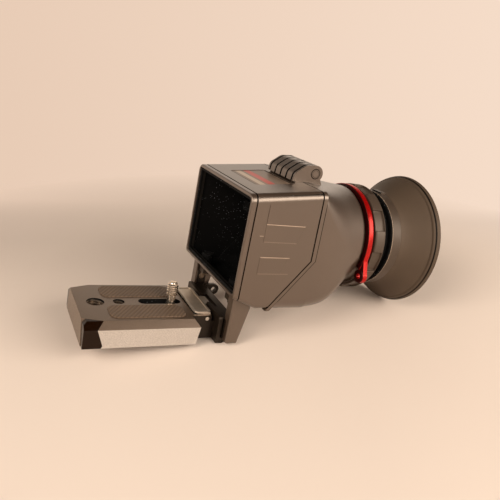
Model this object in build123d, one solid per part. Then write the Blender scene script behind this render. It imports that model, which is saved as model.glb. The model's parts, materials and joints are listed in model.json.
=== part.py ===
from build123d import *
import os
from math import cos, hypot, radians, sin, tan

# Screen viewfinder for a camera's rear display: a quick-release base plate with a camera screw,
# a U frame that lifts off it, a window box, and a lens unit that flips up on a top hinge.
# Millimetres. X across, +Y from the window to the eye, +Z up.
# Origin: axis of the 1/4 inch tripod socket, on the underside of the base plate.

# Fits and gaps
run_fit = 0.06
slide_fit = 0.15
seat_gap = 0.05
open_gap = 0.4
overcut = 1.0

# Base plate
plate_t = 14.0
plate_w = 52.6
bevel_w = 3.5
plate_top_w = plate_w - 2 * bevel_w
bevel_h = 3.8
plate_front = 23.2
notch_in = 3.9
notch_run = 10.6
notch_side_run = 4.6
notch_lean = 3.8
stop_sink = 0.1
stop_bevel = 1.8
stop_setback = 0.4
rail_to_window = 9.4
rail_end_slant = 3.2
rail_end_lean = 1.6
tongue_inset = 6.8
tongue_w = plate_w - 2 * tongue_inset
tongue_t = 10.6
socket_r = 3.175
big_socket_r = 4.7625
socket_pitch = 12.7
slot_w = 6.7
slot_start = 11.1
slot_len = 24.8
track_w = 14.0
track_t = 5.2

# Rubber pads in the top of the plate
pad_in = 5.4
pad_inset = 2.2
pad_out = plate_top_w / 2 - pad_inset
pad_front = 8.2
pad_len = 42.0
pad_corner = 4.5
pad_depth = 1.4
pad_rise = 0.5

# Camera screw and its slider
screw_at = 30.1
screw_shank_r = 2.4
screw_top = 26.0
thread_len = 7.6
screw_head_r = 5.2
screw_head_t = 3.2
screw_lift = 0.5
slider_t = 1.2
slider_len = 15.0
coin_slot_w = 1.2
coin_slot_t = 1.0

# Window box, measured back from the window plane
window_y = 49.4
box_w = 76.4
box_floor = 32.4
box_top = 89.2
box_top_rise = 5.0
seam_top = 42.0
knee_y = 43.2
knee_z = 55.2
foot_y = 20.8
foot_front_y = 14.6
foot_z = 26.5
wall = 2.2
top_edge_r = 4.2
floor_edge_r = 2.4
bezel_t = 3.2
bezel_lip = 3.4
bezel_step_in = 1.7
bezel_step_t = 0.8
bezel_groove = 0.45
gasket_w = 1.6
gasket_t = 1.8
gasket_back = 1.1
step_line_y = 10.9
step_depth = 0.25
band_rise_out = 0.16
band_slant = 3.4
band_rise = 9.7
upper_band_z = 65.0
upper_band_len = 23.6
lower_band_z = 47.0
lower_band_len = 17.0

# Label panel in the top of the box
label_w = 35.4
label_front = 11.3
label_len = 22.4
label_recess = 0.7
label_t = 0.5

# Hinge on top
hinge_w = 30.8
hinge_y = 48.7
hinge_z = 99.7
barrel_r = 4.8
hinge_pin_r = 2.2
pin_cap_r = 3.0
pin_cap_t = 0.9
pin_cap_groove = 0.3
cheek_t = 1.5
knuckle_gap = 1.3
rib_slot_w = 1.5
rib_slot_t = 2.8
cover_front = 34.8
cover_knee_z = 98.9
cover_ridge_y = 42.0
cover_ridge_z = 104.0
cover_gap = 1.0
cover_foot_front = 36.6
cover_screw_r = 1.0

# U frame and legs
leg_inset = 1.3
leg_w = 6.6
leg_in = plate_w / 2 - leg_inset
leg_out = leg_in + leg_w
leg_front = 4.2
leg_foot_back = 11.6
leg_head_back = 16.4
leg_foot_z = 2.6
leg_edge_r = 1.4
arm_t = 2.2
arm_front = 5.6
arm_back = 11.0
bar_front = 4.1
bar_back = 11.0
bar_bottom = 3.6
bar_top = 14.6
flange_w = 7.5
flange_in = leg_in - flange_w
flange_bottom = 24.4
ear_t = 2.4
ear_y = 17.2
ear_z = 11.6
ear_r = 3.6
ear_hole_r = 1.6
frame_bolt_r = 1.25
frame_bolt_head_r = 2.4
frame_bolt_head_t = 1.6
frame_bolt_x = leg_in - flange_w / 2
frame_bolt_y = 8.4
boss_r = 3.6
boss_top = 37.0
leg_screw_z = 20.0
leg_screw_y = 8.6
leg_screw_r = 1.0
leg_screw_head_r = 1.9
leg_screw_head_t = 1.0
leg_screw_len = 4.6

# Bracket that carries the U frame
bracket_inset = 0.3
bracket_w = plate_w - 2 * bracket_inset
bracket_front = 0.8
bracket_t = 2.3
bracket_h = 16.2
bracket_foot_t = 3.4
bracket_foot_back = 5.5
bracket_corner = 1.6
dovetail_w = 17.0
dovetail_neck = 12.0
dovetail_t = 3.4
dovetail_top = 13.8
nose_notch_w = 11.4
nose_notch_z = 13.0
bracket_screw_inset = 6.7
bracket_screw_x = tongue_w / 2 - bracket_screw_inset
bracket_screw_z = 6.0
bracket_screw_r = 1.5
bracket_screw_head_r = 2.8
bracket_screw_head_t = 1.6
bracket_screw_len = 9.0

# Latch lever
latch_inset = 2.2
latch_w = tongue_w - 2 * latch_inset
latch_front = 10.5
latch_back = 0.7
latch_t = 1.1
latch_bottom = 14.3
latch_corner = 2.2
latch_swing = 0.7
latch_rim_w = 1.1
latch_dish = 0.35
nose_w = 9.8
nose_back = 3.5
latch_pin_y = 3.4
latch_pin_z = 11.9
latch_pin_r = 1.2
latch_ear_t = 1.3
latch_ear_r = 2.3
cheek_top = 14.0
latch_pocket = 8.6
spring_r = 1.9
spring_wire = 0.5
spring_inset = 9.9
spring_x = latch_w / 2 - spring_inset
spring_y = 8.0
spring_turns = 4

# Rear housing, a square mouth that runs into a round neck
axis_z = 60.4
rear_w = 75.4
rear_bottom = 24.2
rear_top = 93.8
mouth_end_y = 46.0
mouth_r = 8.0
rear_stations = [(mouth_end_y, rear_w / 2, rear_bottom, rear_top, mouth_r, mouth_r),
                 (56.5, 37.2, 25.2, 93.3, 9.6, 20.0), (66.0, 35.8, 26.6, 92.7, 14.0, 28.0),
                 (74.5, 33.6, 28.0, 92.2, 24.0, 30.5)]
neck_lip_y = 81.6
neck_lip_r = 31.6
neck_r = 29.2
neck_bore_r = 27.2
neck_end_y = 95.2
rim_band = 2.5
rim_band_out = 0.25

# Magnets that hold the rear housing shut
magnet_r = 2.5
magnet_t = 3.0
magnet_z = 66.0
magnet_x = 32.6
magnet_boss = 3.4
magnet_recess = 0.4

# Field mask behind the window box
mask_t = 1.4
mask_y = 44.4
mask_open_w = 58.0
mask_open_bottom = 36.0
mask_open_top = 86.0

# Strap ring round the neck
strap_y = 84.5
strap_t = 3.8
strap_in_r = 29.55
strap_out_r = 33.0
strap_end_angle = 22.0
eyelet_angle = 27.0
eyelet_at_r = 35.2
eyelet_r = 4.2
eyelet_blend_angle = 11.0
eyelet_hole_r = 1.7
strap_edge_r = 0.9

# Diopter ring
ring_y = 89.9
ring_back_y = 97.2
ring_r = 33.4
ring_scallop = 1.2
ring_lobes = 8
ring_flange_t = 1.6
circlip_y = 93.6
circlip_t = 0.9
circlip_in = 28.55
circlip_out = 29.85
circlip_mouth = 24.0

# Eyepiece barrel and lenses
barrel_y = 78.0
barrel_out_r = 27.05
barrel_back_y = 104.4
barrel_bore_r = 24.5
barrel_stop_y = 100.6
barrel_stop_r = 22.8
spigot_r = 25.8
spigot_len = 5.6
key_w = 3.0
key_h = 0.9
key_len = 6.0
key_y = 83.0
oring_y = 80.2
oring_r = 0.55
lens_edge_t = 3.0
lens_bulge = 3.0
front_lens_y = 86.4
retainer_t = 2.4

# Eyecup
cup_ring_r = 30.4
cup_ring_y = 104.4
cup_ring_back = 112.1
cup_rim_y = 133.9
cup_rim_r = 42.1
cup_root_r = 29.9
cup_wall = 2.2
cup_bead = 1.4
rim_band_len = 5.4
rim_band_step = 0.35
tab_w = 9.0
tab_t = 0.7
tab_len = 4.2


def block(x0, x1, y0, y1, z0, z1):
    """A box from its lowest to its highest corner."""
    size = (x1 - x0, y1 - y0, z1 - z0)
    middle = ((x0 + x1) / 2, (y0 + y1) / 2, (z0 + z1) / 2)
    return Pos(*middle) * Box(*size)


def rod_x(r, x0, x1, y, z):
    """A round bar along X."""
    return Pos((x0 + x1) / 2, y, z) * Rot(0, 90, 0) * Cylinder(r, x1 - x0)


def rod_y(r, y0, y1, x, z):
    """A round bar along Y."""
    return Pos(x, (y0 + y1) / 2, z) * Rot(-90, 0, 0) * Cylinder(r, y1 - y0)


def rod_z(r, z0, z1, x, y):
    """A round bar along Z."""
    return Pos(x, y, (z0 + z1) / 2) * Cylinder(r, z1 - z0)


def side_prism(points, x0, x1):
    """A side outline of (y, z) points, given thickness from x0 to x1."""
    face = make_face(Polyline([(x0, y, z) for y, z in points], close=True))
    return extrude(face, amount=x1 - x0, dir=(1, 0, 0))


def turned(points):
    """A solid turned about the optical axis from (y, radius) points."""
    face = make_face(Polyline([(0, y, axis_z + r) for y, r in points], close=True))
    return revolve(face, Axis((0, 0, axis_z), (0, 1, 0)), 360)


def tube(r_in, r_out, y0, y1):
    """A ring about the optical axis."""
    return turned([(y0, r_in), (y1, r_in), (y1, r_out), (y0, r_out)])


def rounded_section(y, half_w, bottom, top, r):
    """A rounded rectangle across the optical axis at one depth."""
    plane = Plane((0, y, (bottom + top) / 2), x_dir=(1, 0, 0), z_dir=(0, 1, 0))
    return plane * RectangleRounded(2 * half_w, top - bottom, r)


def mirrored(shape):
    """The same shape on the other side of the centre plane."""
    return mirror(shape, about=Plane.YZ)


def both_sides(shape):
    """Two separate solids, one each side of the centre plane."""
    return Compound(children=[shape, mirrored(shape)])


def save(shape, name):
    """Write one node to its own file."""
    export_step(shape, f"parts/{name}.step")


def box_top_at(y):
    """Height of the sloping top of the box, y back from the window plane."""
    return box_top + box_top_rise * y / seam_top


def box_floor_at(y):
    """Height of the underside of the box, y back from the window plane."""
    fall = (box_floor - foot_z) * min(y, foot_front_y) / foot_front_y
    return box_floor - fall


def seam_y_at(z):
    """Depth of the seam between the box and the rear housing at one height."""
    if z > knee_z:
        return knee_y + (seam_top - knee_y) * (z - knee_z) / (box_top_at(seam_top) - knee_z)
    return knee_y + (foot_y - knee_y) * (knee_z - z) / (knee_z - foot_z)


def w(y):
    """A depth measured from the window plane, in the part's own Y."""
    return window_y + y


def rail_section(y0, y1):
    """The bevelled section of the base plate, from one depth to another."""
    half, top_half = plate_w / 2, plate_top_w / 2
    edge_z = plate_t - bevel_h
    section = [(-half, 0), (half, 0), (half, edge_z), (top_half, plate_t),
               (-top_half, plate_t), (-half, edge_z)]
    face = make_face(Polyline([(x, y0, z) for x, z in section], close=True))
    return extrude(face, amount=y1 - y0, dir=(0, 1, 0))


def corner_notch(gap):
    """Leaning cut at a front corner of the plate, or the space of its stop with a gap."""
    front = -plate_front
    top_half = plate_top_w / 2
    turn_y = front + notch_run - 2 * gap
    plan = [(top_half - notch_in + gap, front - overcut), (top_half - notch_in + gap, front),
            (top_half, turn_y), (plate_w / 2, turn_y - notch_side_run),
            (plate_w, turn_y - notch_side_run), (plate_w, front - overcut)]
    face = make_face(Polyline([(x, y, plate_t) for x, y in plan], close=True))
    down = (notch_lean, 0, -plate_t)
    reach = 1 + overcut / plate_t
    body = extrude(face, amount=hypot(notch_lean, plate_t) * reach, dir=down)
    return body if gap else body + extrude(face, amount=overcut, dir=(0, 0, 1))


def rail_stops():
    """Black stop let into each front corner, so that the plate can't slide out of a clamp."""
    front = -plate_front + stop_setback
    body = rail_section(front, front + notch_run) & corner_notch(seat_gap)
    body -= block(0, plate_w, -2 * plate_front, plate_t, plate_t - stop_sink, plate_t + overcut)
    body -= side_prism([(front - overcut, plate_t - stop_bevel - overcut),
                        (front + stop_bevel, plate_t), (front - overcut, plate_t)], 0, plate_w)
    return both_sides(body)


def base_plate():
    """Aluminium plate with bevelled edges, corner notches, sockets and a screw slot."""
    half = plate_w / 2
    edge_z = plate_t - bevel_h
    rail_back = w(-rail_to_window)
    body = rail_section(-plate_front, rail_back)
    notch = corner_notch(0)
    body -= notch
    body -= mirrored(notch)
    top_back, foot_back = rail_back - rail_end_slant, rail_back - rail_end_lean
    end_cut = side_prism([(top_back, plate_t + overcut), (top_back, plate_t),
                          (rail_back, edge_z), (foot_back, 0), (foot_back, -overcut),
                          (rail_back + overcut, -overcut),
                          (rail_back + overcut, plate_t + overcut)], tongue_w / 2, half + overcut)
    body -= end_cut
    body -= mirrored(end_cut)
    tongue_back = w(bracket_front)
    tongue = block(-tongue_w / 2, tongue_w / 2, rail_back - overcut, tongue_back, 0, tongue_t)
    body += tongue
    pocket_front = w(-latch_front - latch_swing)
    pocket_w = latch_w / 2 + slide_fit
    body -= block(-pocket_w, pocket_w, pocket_front, tongue_back + overcut,
                  latch_pocket, plate_t + overcut)
    cheek_y0, cheek_y1 = rail_back - overcut, w(-latch_pin_y + latch_ear_r)
    cheek = block(pocket_w, tongue_w / 2, cheek_y0, cheek_y1, tongue_t - overcut, cheek_top)
    body += cheek
    body += mirrored(cheek)
    body -= rod_x(latch_pin_r + seat_gap, -tongue_w, tongue_w, w(-latch_pin_y), latch_pin_z)
    for x in (-spring_x, spring_x):
        body -= rod_z(spring_r + spring_wire + slide_fit, spring_seat_z(), latch_pocket + overcut,
                      x, w(-spring_y))
    body -= rod_z(socket_r, -overcut, plate_t + overcut, 0, 0)
    body -= rod_z(big_socket_r, -overcut, plate_t + overcut, 0, -socket_pitch)
    slot_y = slot_start + slot_len / 2
    slot = Pos(0, slot_y, 0) * Rot(0, 0, 90) * SlotOverall(slot_len, slot_w)
    body -= Pos(0, 0, -overcut) * extrude(slot, plate_t + 2 * overcut)
    track = Pos(0, slot_y, -overcut) * Rot(0, 0, 90) * SlotOverall(track_length(), track_w)
    body -= extrude(track, track_t + overcut)
    for side in (-1, 1):
        body -= pad_solid(side, pad_depth + overcut, plate_t - pad_depth, 0)
    for side in (-1, 1):
        x = side * bracket_screw_x
        body -= rod_y(bracket_screw_r + seat_gap, w(bracket_front - bracket_screw_len),
                      w(bracket_front) + overcut, x, bracket_screw_z)
    return body


def spring_seat_z():
    """Floor of the pockets that hold the latch springs."""
    return latch_pocket - 2.4


def track_length():
    """Track under the slot, as much longer than the slot as it is wider."""
    return slot_len + track_w - slot_w


def pad_solid(side, height, z0, gap):
    """One pad outline, given height above z0."""
    x = side * (pad_in + pad_out) / 2
    outline = RectangleRounded(pad_out - pad_in - 2 * gap, pad_len - 2 * gap, pad_corner - gap)
    return Pos(x, -pad_front + pad_len / 2, z0) * extrude(outline, height)


def pad(side):
    """Rubber grip pad let into the top of the plate."""
    height = pad_depth + pad_rise
    body = pad_solid(side, height, plate_t - pad_depth, seat_gap)
    return chamfer(body.faces().sort_by(Axis.Z)[-1].edges(), pad_rise / 2)


def screw_slider():
    """Flat plate that rides in the track under the slot and holds the camera screw."""
    z0 = track_t - slide_fit - slider_t
    outline = Rot(0, 0, 90) * SlotOverall(slider_len, track_w - 2 * slide_fit)
    body = Pos(0, screw_at, z0) * extrude(outline, slider_t)
    return body - rod_z(screw_shank_r + run_fit, z0 - overcut, z0 + slider_t + overcut, 0,
                        screw_at)


def camera_screw():
    """Screw with a slim shank, a full thread at its tip and a coin slot in its head."""
    z_head = screw_lift
    z_shank = z_head + screw_head_t
    body = rod_z(screw_head_r, z_head, z_shank, 0, screw_at)
    body += rod_z(screw_shank_r, z_shank, screw_top, 0, screw_at)
    tip = rod_z(socket_r, screw_top - thread_len, screw_top, 0, screw_at)
    body += chamfer(tip.edges().group_by(Axis.Z)[-1], 0.7)
    body -= block(-screw_head_r, screw_head_r, screw_at - coin_slot_w / 2,
                  screw_at + coin_slot_w / 2, z_head - overcut, z_head + coin_slot_t)
    return body


def latch_lever():
    """Pressed steel lever: a dished pad with a raised rim, a nose and two pivot ears."""
    y0, y1 = w(-latch_front), w(-latch_back)
    z1 = latch_bottom + latch_t
    plate = Pos(0, (y0 + y1) / 2, latch_bottom) * extrude(
        RectangleRounded(latch_w, y1 - y0, latch_corner), latch_t)
    dish = Pos(0, (y0 + y1) / 2, z1 - latch_dish) * extrude(
        RectangleRounded(latch_w - 2 * latch_rim_w, y1 - y0 - 2 * latch_rim_w,
                         latch_corner - latch_rim_w / 2), latch_dish + overcut)
    body = plate - dish
    body += block(-nose_w / 2, nose_w / 2, y1 - latch_rim_w, w(nose_back), latch_bottom,
                  z1 - latch_dish)
    ear_x = latch_w / 2 - latch_ear_t
    ear = rod_x(latch_ear_r, ear_x, latch_w / 2, w(-latch_pin_y), latch_pin_z)
    ear += block(ear_x, latch_w / 2, w(-latch_pin_y - latch_ear_r),
                 w(-latch_pin_y + latch_ear_r), latch_pin_z, latch_bottom + latch_t / 2)
    body += ear
    body += mirrored(ear)
    return body - rod_x(latch_pin_r + run_fit, -latch_w, latch_w, w(-latch_pin_y), latch_pin_z)


def latch_pin():
    """Steel cross pin that the latch lever turns on."""
    half = tongue_w / 2
    pin = rod_x(latch_pin_r, -half, half, w(-latch_pin_y), latch_pin_z)
    return chamfer(pin.edges().filter_by(GeomType.CIRCLE), 0.25)


def latch_springs():
    """Two small coil springs that push the front of the lever up."""
    low = spring_seat_z() + spring_wire / 2 + seat_gap
    high = latch_bottom - spring_wire / 2 - seat_gap
    path = Helix((high - low) / spring_turns, high - low, spring_r)
    start = Plane(origin=path @ 0, z_dir=path % 0)
    spring = sweep(start * Circle(spring_wire / 2), path=path, is_frenet=True)
    return both_sides(Pos(spring_x, w(-spring_y), low) * spring)


def bracket_plate():
    """Upright plate with a foot at its base and a dovetail tongue on its back."""
    half = bracket_w / 2
    y0 = w(bracket_front)
    y1 = y0 + bracket_t
    plane = Plane((0, y0, bracket_h / 2), x_dir=(1, 0, 0), z_dir=(0, 1, 0))
    body = extrude(plane * RectangleRounded(bracket_w, bracket_h, bracket_corner), bracket_t)
    body += block(-half, half, y0, y1, 0, bracket_corner)
    foot = block(-half, half, y1 - overcut, w(bracket_foot_back), 0, bracket_foot_t)
    body += chamfer(foot.edges().filter_by(Axis.X).sort_by(Axis.Y)[-2:], 0.5)
    body += dovetail(0, bracket_foot_t - seat_gap, dovetail_top)
    body -= block(-nose_notch_w / 2, nose_notch_w / 2, y0 - overcut, y1 + overcut,
                  nose_notch_z, bracket_h + overcut)
    body -= block(-nose_notch_w / 2, nose_notch_w / 2, y0, y1 + dovetail_t + overcut,
                  dovetail_top, bracket_h + overcut)
    for side in (-1, 1):
        x = side * bracket_screw_x
        body -= rod_y(bracket_screw_r + seat_gap, y0 - overcut, y1 + overcut, x, bracket_screw_z)
        body -= rod_y(bracket_screw_head_r + seat_gap, y1 - bracket_screw_head_t - seat_gap,
                      y1 + overcut, x, bracket_screw_z)
    return body


def dovetail(gap, z0, z1):
    """Tongue that widens away from the bracket, or its groove when given a gap."""
    y0 = w(bracket_front + bracket_t) - seat_gap
    y1 = y0 + dovetail_t + gap
    neck, head = dovetail_neck / 2 + gap, dovetail_w / 2 + gap
    outline = [(-neck, y0), (neck, y0), (head, y1), (-head, y1)]
    face = make_face(Polyline([(x, y, z0) for x, y in outline], close=True))
    return extrude(face, amount=z1 - z0, dir=(0, 0, 1))


def bracket_screws():
    """Two screws through the bracket into the tongue of the base plate."""
    y1 = w(bracket_front + bracket_t)
    x, z = bracket_screw_x, bracket_screw_z
    screw = rod_y(bracket_screw_r, w(bracket_front - bracket_screw_len) + seat_gap,
                  y1 - bracket_screw_head_t, x, z)
    screw += rod_y(bracket_screw_head_r, y1 - bracket_screw_head_t, y1 - seat_gap, x, z)
    screw -= rod_y(bracket_screw_r * 0.75, y1 - bracket_screw_head_t * 0.7, y1 + overcut, x, z)
    return both_sides(screw)


def u_frame():
    """Metal U: a grooved cross bar, two upright arms, top flanges and a tether ear."""
    bar = block(-leg_in - arm_t, leg_in + arm_t, w(bar_front), w(bar_back), bar_bottom, bar_top)
    body = bar - dovetail(slide_fit, bar_bottom - overcut, bar_top + overcut)
    arm_top = [(arm_front, box_floor_at(arm_front) - seat_gap),
               (arm_front, bar_bottom), (arm_back, bar_bottom),
               (arm_back, box_floor_at(arm_back) - seat_gap)]
    arm = side_prism([(w(y), z) for y, z in arm_top], leg_in, leg_in + arm_t)
    flange_side = [(arm_front, box_floor_at(arm_front) - seat_gap), (arm_front, flange_bottom),
                   (arm_back, flange_bottom), (arm_back, box_floor_at(arm_back) - seat_gap)]
    arm += side_prism([(w(y), z) for y, z in flange_side], flange_in, leg_in + arm_t)
    arm -= rod_z(frame_bolt_r + seat_gap, 0, box_floor + overcut, frame_bolt_x, w(frame_bolt_y))
    arm -= rod_x(leg_screw_r + seat_gap, 0, leg_out, w(leg_screw_y), leg_screw_z)
    arm -= rod_x(leg_screw_head_r + seat_gap, 0, leg_in + leg_screw_head_t, w(leg_screw_y),
                 leg_screw_z)
    body += arm
    body += mirrored(arm)
    ear = rod_x(ear_r, -leg_in, -leg_in + ear_t, w(ear_y), ear_z)
    ear += block(-leg_in, -leg_in + ear_t, w(bar_back) - overcut, w(ear_y), ear_z - ear_r,
                 ear_z + ear_r)
    return body + ear - rod_x(ear_hole_r, -leg_out, 0, w(ear_y), ear_z)


def leg(side):
    """Moulded leg cover below a corner of the box, let in round the metal arm."""
    outline = [(leg_front, leg_foot_z), (leg_foot_back, leg_foot_z),
               (leg_head_back, box_floor_at(leg_head_back) - seat_gap),
               (foot_front_y, foot_z - seat_gap), (leg_front, box_floor_at(leg_front) - seat_gap)]
    body = side_prism([(w(y), z) for y, z in outline], leg_in, leg_out)
    outer = body.faces().filter_by(Axis.X).sort_by(Axis.X)[-1]
    front_edge = outer.edges().sort_by(Axis.Y)[0]
    back_edge = outer.edges().filter_by(lambda e: e.center().Y > w(leg_foot_back) + overcut
                                        and abs(e.tangent_at(0.5).Z) > 0.5)[0]
    body = fillet([front_edge, back_edge], leg_edge_r)
    gap = seat_gap
    body -= block(0, leg_in + arm_t + gap, w(arm_front) - gap, w(arm_back) + gap, 0, box_floor)
    body -= block(0, leg_in + arm_t + gap, w(bar_front) - gap, w(bar_back) + gap,
                  bar_bottom - gap, bar_top + gap)
    body -= block(0, bracket_w / 2 + slide_fit, w(leg_front) - overcut,
                  w(bracket_foot_back) + slide_fit, 0, bracket_foot_t + slide_fit)
    body -= rod_x(leg_screw_r + seat_gap, 0, leg_in + leg_screw_len + gap, w(leg_screw_y),
                  leg_screw_z)
    return body if side > 0 else mirrored(body)


def leg_screws():
    """A screw on each side that ties the metal arm to its leg."""
    x1 = leg_in + leg_screw_head_t
    screw = rod_x(leg_screw_r, x1, leg_in + leg_screw_len, w(leg_screw_y), leg_screw_z)
    screw += rod_x(leg_screw_head_r, leg_in, x1, w(leg_screw_y), leg_screw_z)
    return both_sides(screw)


def frame_bolts():
    """A bolt on each side that holds the U frame up to the box."""
    x, y = frame_bolt_x, w(frame_bolt_y)
    bolt = rod_z(frame_bolt_r, flange_bottom, boss_top - overcut, x, y)
    bolt += rod_z(frame_bolt_head_r, flange_bottom - frame_bolt_head_t, flange_bottom, x, y)
    return both_sides(bolt)


def box_outline(front, back_gap=0.0):
    """Side outline of the window box from a front depth to the seam."""
    return [(w(front), box_floor_at(front)), (w(foot_front_y), foot_z),
            (w(foot_y - back_gap), foot_z), (w(knee_y - back_gap), knee_z),
            (w(seam_top - back_gap), box_top_at(seam_top)), (w(front), box_top_at(front))]


def box_body(front):
    """The window box, solid, with its long edges rounded."""
    half = box_w / 2
    body = side_prism(box_outline(front), -half, half)
    long_edges = body.edges().filter_by(lambda e: abs(e.tangent_at(0.5).X) < 0.01
                                        and abs(e.tangent_at(0.5).Y) > 0.9)
    top = long_edges.filter_by(lambda e: e.center().Z > axis_z)
    low = long_edges.filter_by(lambda e: e.center().Z < axis_z)
    body = fillet(top, top_edge_r)
    low = [e for e in body.edges() if abs(e.center().X) > half - 0.01
           and e.center().Z < box_floor and abs(e.tangent_at(0.5).Y) > 0.9]
    return fillet(low, floor_edge_r)


def box_cavity(inset):
    """The hollow of the box, open to the window and to the rear."""
    far = knee_y + 4 * wall
    floor_in, top_in = inset, -inset
    outline = [(w(-far), box_floor_at(0) + floor_in), (w(0), box_floor_at(0) + floor_in),
               (w(foot_front_y), foot_z + floor_in), (w(far), foot_z + floor_in),
               (w(far), box_top_at(far) + top_in), (w(-far), box_top_at(-far) + top_in)]
    half = box_w / 2 - inset
    body = side_prism(outline, -half, half)
    edges = body.edges().filter_by(lambda e: abs(e.tangent_at(0.5).X) < 0.01
                                   and abs(e.tangent_at(0.5).Y) > 0.9
                                   and e.center().Z > axis_z)
    return fillet(edges, max(top_edge_r - wall, 0.5))


def front_half(depth):
    """Everything in front of a depth, as a cutter."""
    return block(-box_w, box_w, w(-box_w), w(depth), -box_w, 3 * box_w)


def front_bezel():
    """Frame round the window, with a lip that stands in from the walls."""
    body = box_body(0) & front_half(bezel_t)
    half = box_w / 2 - bezel_lip
    window = block(-half, half, w(-overcut), w(bezel_t) + overcut,
                   box_floor + bezel_lip, box_top - bezel_lip)
    window = fillet(window.edges().filter_by(Axis.Y), 1.2)
    body -= window
    outer = box_w / 2 - bezel_step_in
    rebate = block(-outer, outer, w(-overcut), w(bezel_step_t), box_floor + bezel_step_in,
                   box_top - bezel_step_in)
    body -= fillet(rebate.edges().filter_by(Axis.Y), 1.8)
    back = body.faces().filter_by(Axis.Y).sort_by(Axis.Y)[-1]
    body = chamfer(back.outer_wire().edges(), bezel_groove)
    front = body.faces().filter_by(Axis.Y).sort_by(Axis.Y)[0]
    body = chamfer(front.outer_wire().edges(), 0.5)
    seat = half + gasket_w
    step = block(-seat, seat, w(bezel_t - gasket_back), w(bezel_t) + overcut,
                 box_floor + bezel_lip - gasket_w, box_top - bezel_lip + gasket_w)
    return body - step


def window_gasket():
    """Rubber light seal behind the bezel lip."""
    half = box_w / 2 - bezel_lip
    seat = half + gasket_w - seat_gap
    inner = half + 0.5
    y0 = w(bezel_t - gasket_back) + seat_gap
    body = block(-seat, seat, y0, y0 + gasket_t, box_floor + bezel_lip - gasket_w + seat_gap,
                 box_top - bezel_lip + gasket_w - seat_gap)
    return body - block(-inner, inner, y0 - overcut, y0 + gasket_t + overcut,
                        box_floor + bezel_lip - 0.5, box_top - bezel_lip + 0.5)


def side_bands():
    """Two low raised bands with slanted ends on the cheek of the box."""
    bands = []
    for z, length in ((upper_band_z, upper_band_len), (lower_band_z, lower_band_len)):
        y0 = step_line_y
        points = [(w(y0), z), (w(y0 + length - band_slant), z),
                  (w(y0 + length), z + band_rise), (w(y0), z + band_rise)]
        bands.append(side_prism(points, box_w / 2 - wall / 2, box_w / 2 + band_rise_out))
    return bands


def side_grooves():
    """A fine upright groove and a short tick ahead of the bands."""
    x0, x1 = box_w / 2 - step_depth, box_w / 2 + overcut
    upright = block(x0, x1, w(step_line_y - 0.4), w(step_line_y), upper_band_z + band_rise,
                    box_top - top_edge_r)
    tick_z = upper_band_z + band_slant
    tick = block(x0, x1, w(step_line_y - 2.8), w(step_line_y - 0.4), tick_z - 0.2, tick_z + 0.2)
    return [upright, tick]


def magnet_pocket(y0, y1):
    """Round pocket for one magnet, along Y."""
    return rod_y(magnet_r + seat_gap, y0, y1, magnet_x, magnet_z)


def front_magnet_face():
    """Depth of the rear face of the magnets in the box."""
    return w(seam_y_at(magnet_z) - magnet_recess)


def rear_magnet_face():
    """Depth of the front face of the magnets in the rear housing."""
    return w(seam_y_at(magnet_z) + open_gap + magnet_recess)


def front_housing():
    """Moulded window box: four walls, seam edge, label recess, bolt and magnet bosses."""
    body = box_body(0) - front_half(bezel_t)
    front = body.faces().filter_by(Axis.Y).sort_by(Axis.Y)[0]
    body = chamfer(front.outer_wire().edges(), bezel_groove)
    solid = body
    body -= box_cavity(wall)
    seat = box_w / 2 - bezel_lip + gasket_w
    body -= block(-seat, seat, w(0), w(bezel_t + gasket_t - gasket_back) + seat_gap,
                  box_floor + bezel_lip - gasket_w, box_top - bezel_lip + gasket_w)
    for band in side_bands():
        body += band
        body += mirrored(band)
    for groove in side_grooves():
        body -= groove
        body -= mirrored(groove)
    recess = label_block(label_w, label_len, label_recess, 0)
    body -= recess
    boss = rod_z(boss_r, foot_z, boss_top, frame_bolt_x, w(frame_bolt_y)) & solid
    boss -= rod_z(frame_bolt_r + seat_gap, 0, boss_top - overcut / 2, frame_bolt_x,
                  w(frame_bolt_y))
    hole = rod_z(frame_bolt_r + seat_gap, 0, boss_top - overcut / 2, frame_bolt_x,
                 w(frame_bolt_y))
    body += boss
    body += mirrored(boss)
    body -= hole
    body -= mirrored(hole)
    y1 = w(seam_y_at(magnet_z))
    depth = magnet_t + wall
    shelf = block(magnet_x - magnet_boss, box_w / 2 - wall / 2, y1 - depth - magnet_boss,
                  y1 + overcut, magnet_z - magnet_boss, magnet_z + magnet_boss) & solid
    shelf -= magnet_pocket(front_magnet_face() - magnet_t - seat_gap, y1 + 2 * overcut)
    body += shelf
    body += mirrored(shelf)
    for side in (-1, 1):
        for y in cover_screw_depths():
            x = side * (hinge_w / 2 - cheek_t - 2.6)
            body -= rod_z(cover_screw_r + seat_gap, box_top - 2 * wall, box_top + 12, x, w(y))
    return body


def label_block(width, length, depth, gap):
    """Sloping slab that follows the top of the box, for the label and its recess."""
    y0, y1 = label_front + gap, label_front + length - gap
    outline = [(w(y0), box_top_at(y0) - label_recess), (w(y1), box_top_at(y1) - label_recess),
               (w(y1), box_top_at(y1) - label_recess + depth + (0 if gap else overcut)),
               (w(y0), box_top_at(y0) - label_recess + depth + (0 if gap else overcut))]
    body = side_prism(outline, -width / 2 + gap, width / 2 - gap)
    edges = body.edges().filter_by(lambda e: abs(e.tangent_at(0.5).Z) > 0.9)
    return fillet(edges, 1.5)


def label_panel():
    """Thin panel that lies in the recess."""
    return label_block(label_w, label_len, label_t, seat_gap)


def magnets(y0):
    """A disc magnet each side of the opening."""
    return both_sides(rod_y(magnet_r, y0, y0 + magnet_t, magnet_x, magnet_z))


def cover_screw_depths():
    """Depth of the screws that hold the hinge cover down."""
    return [cover_foot_front + 2.2]


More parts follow.
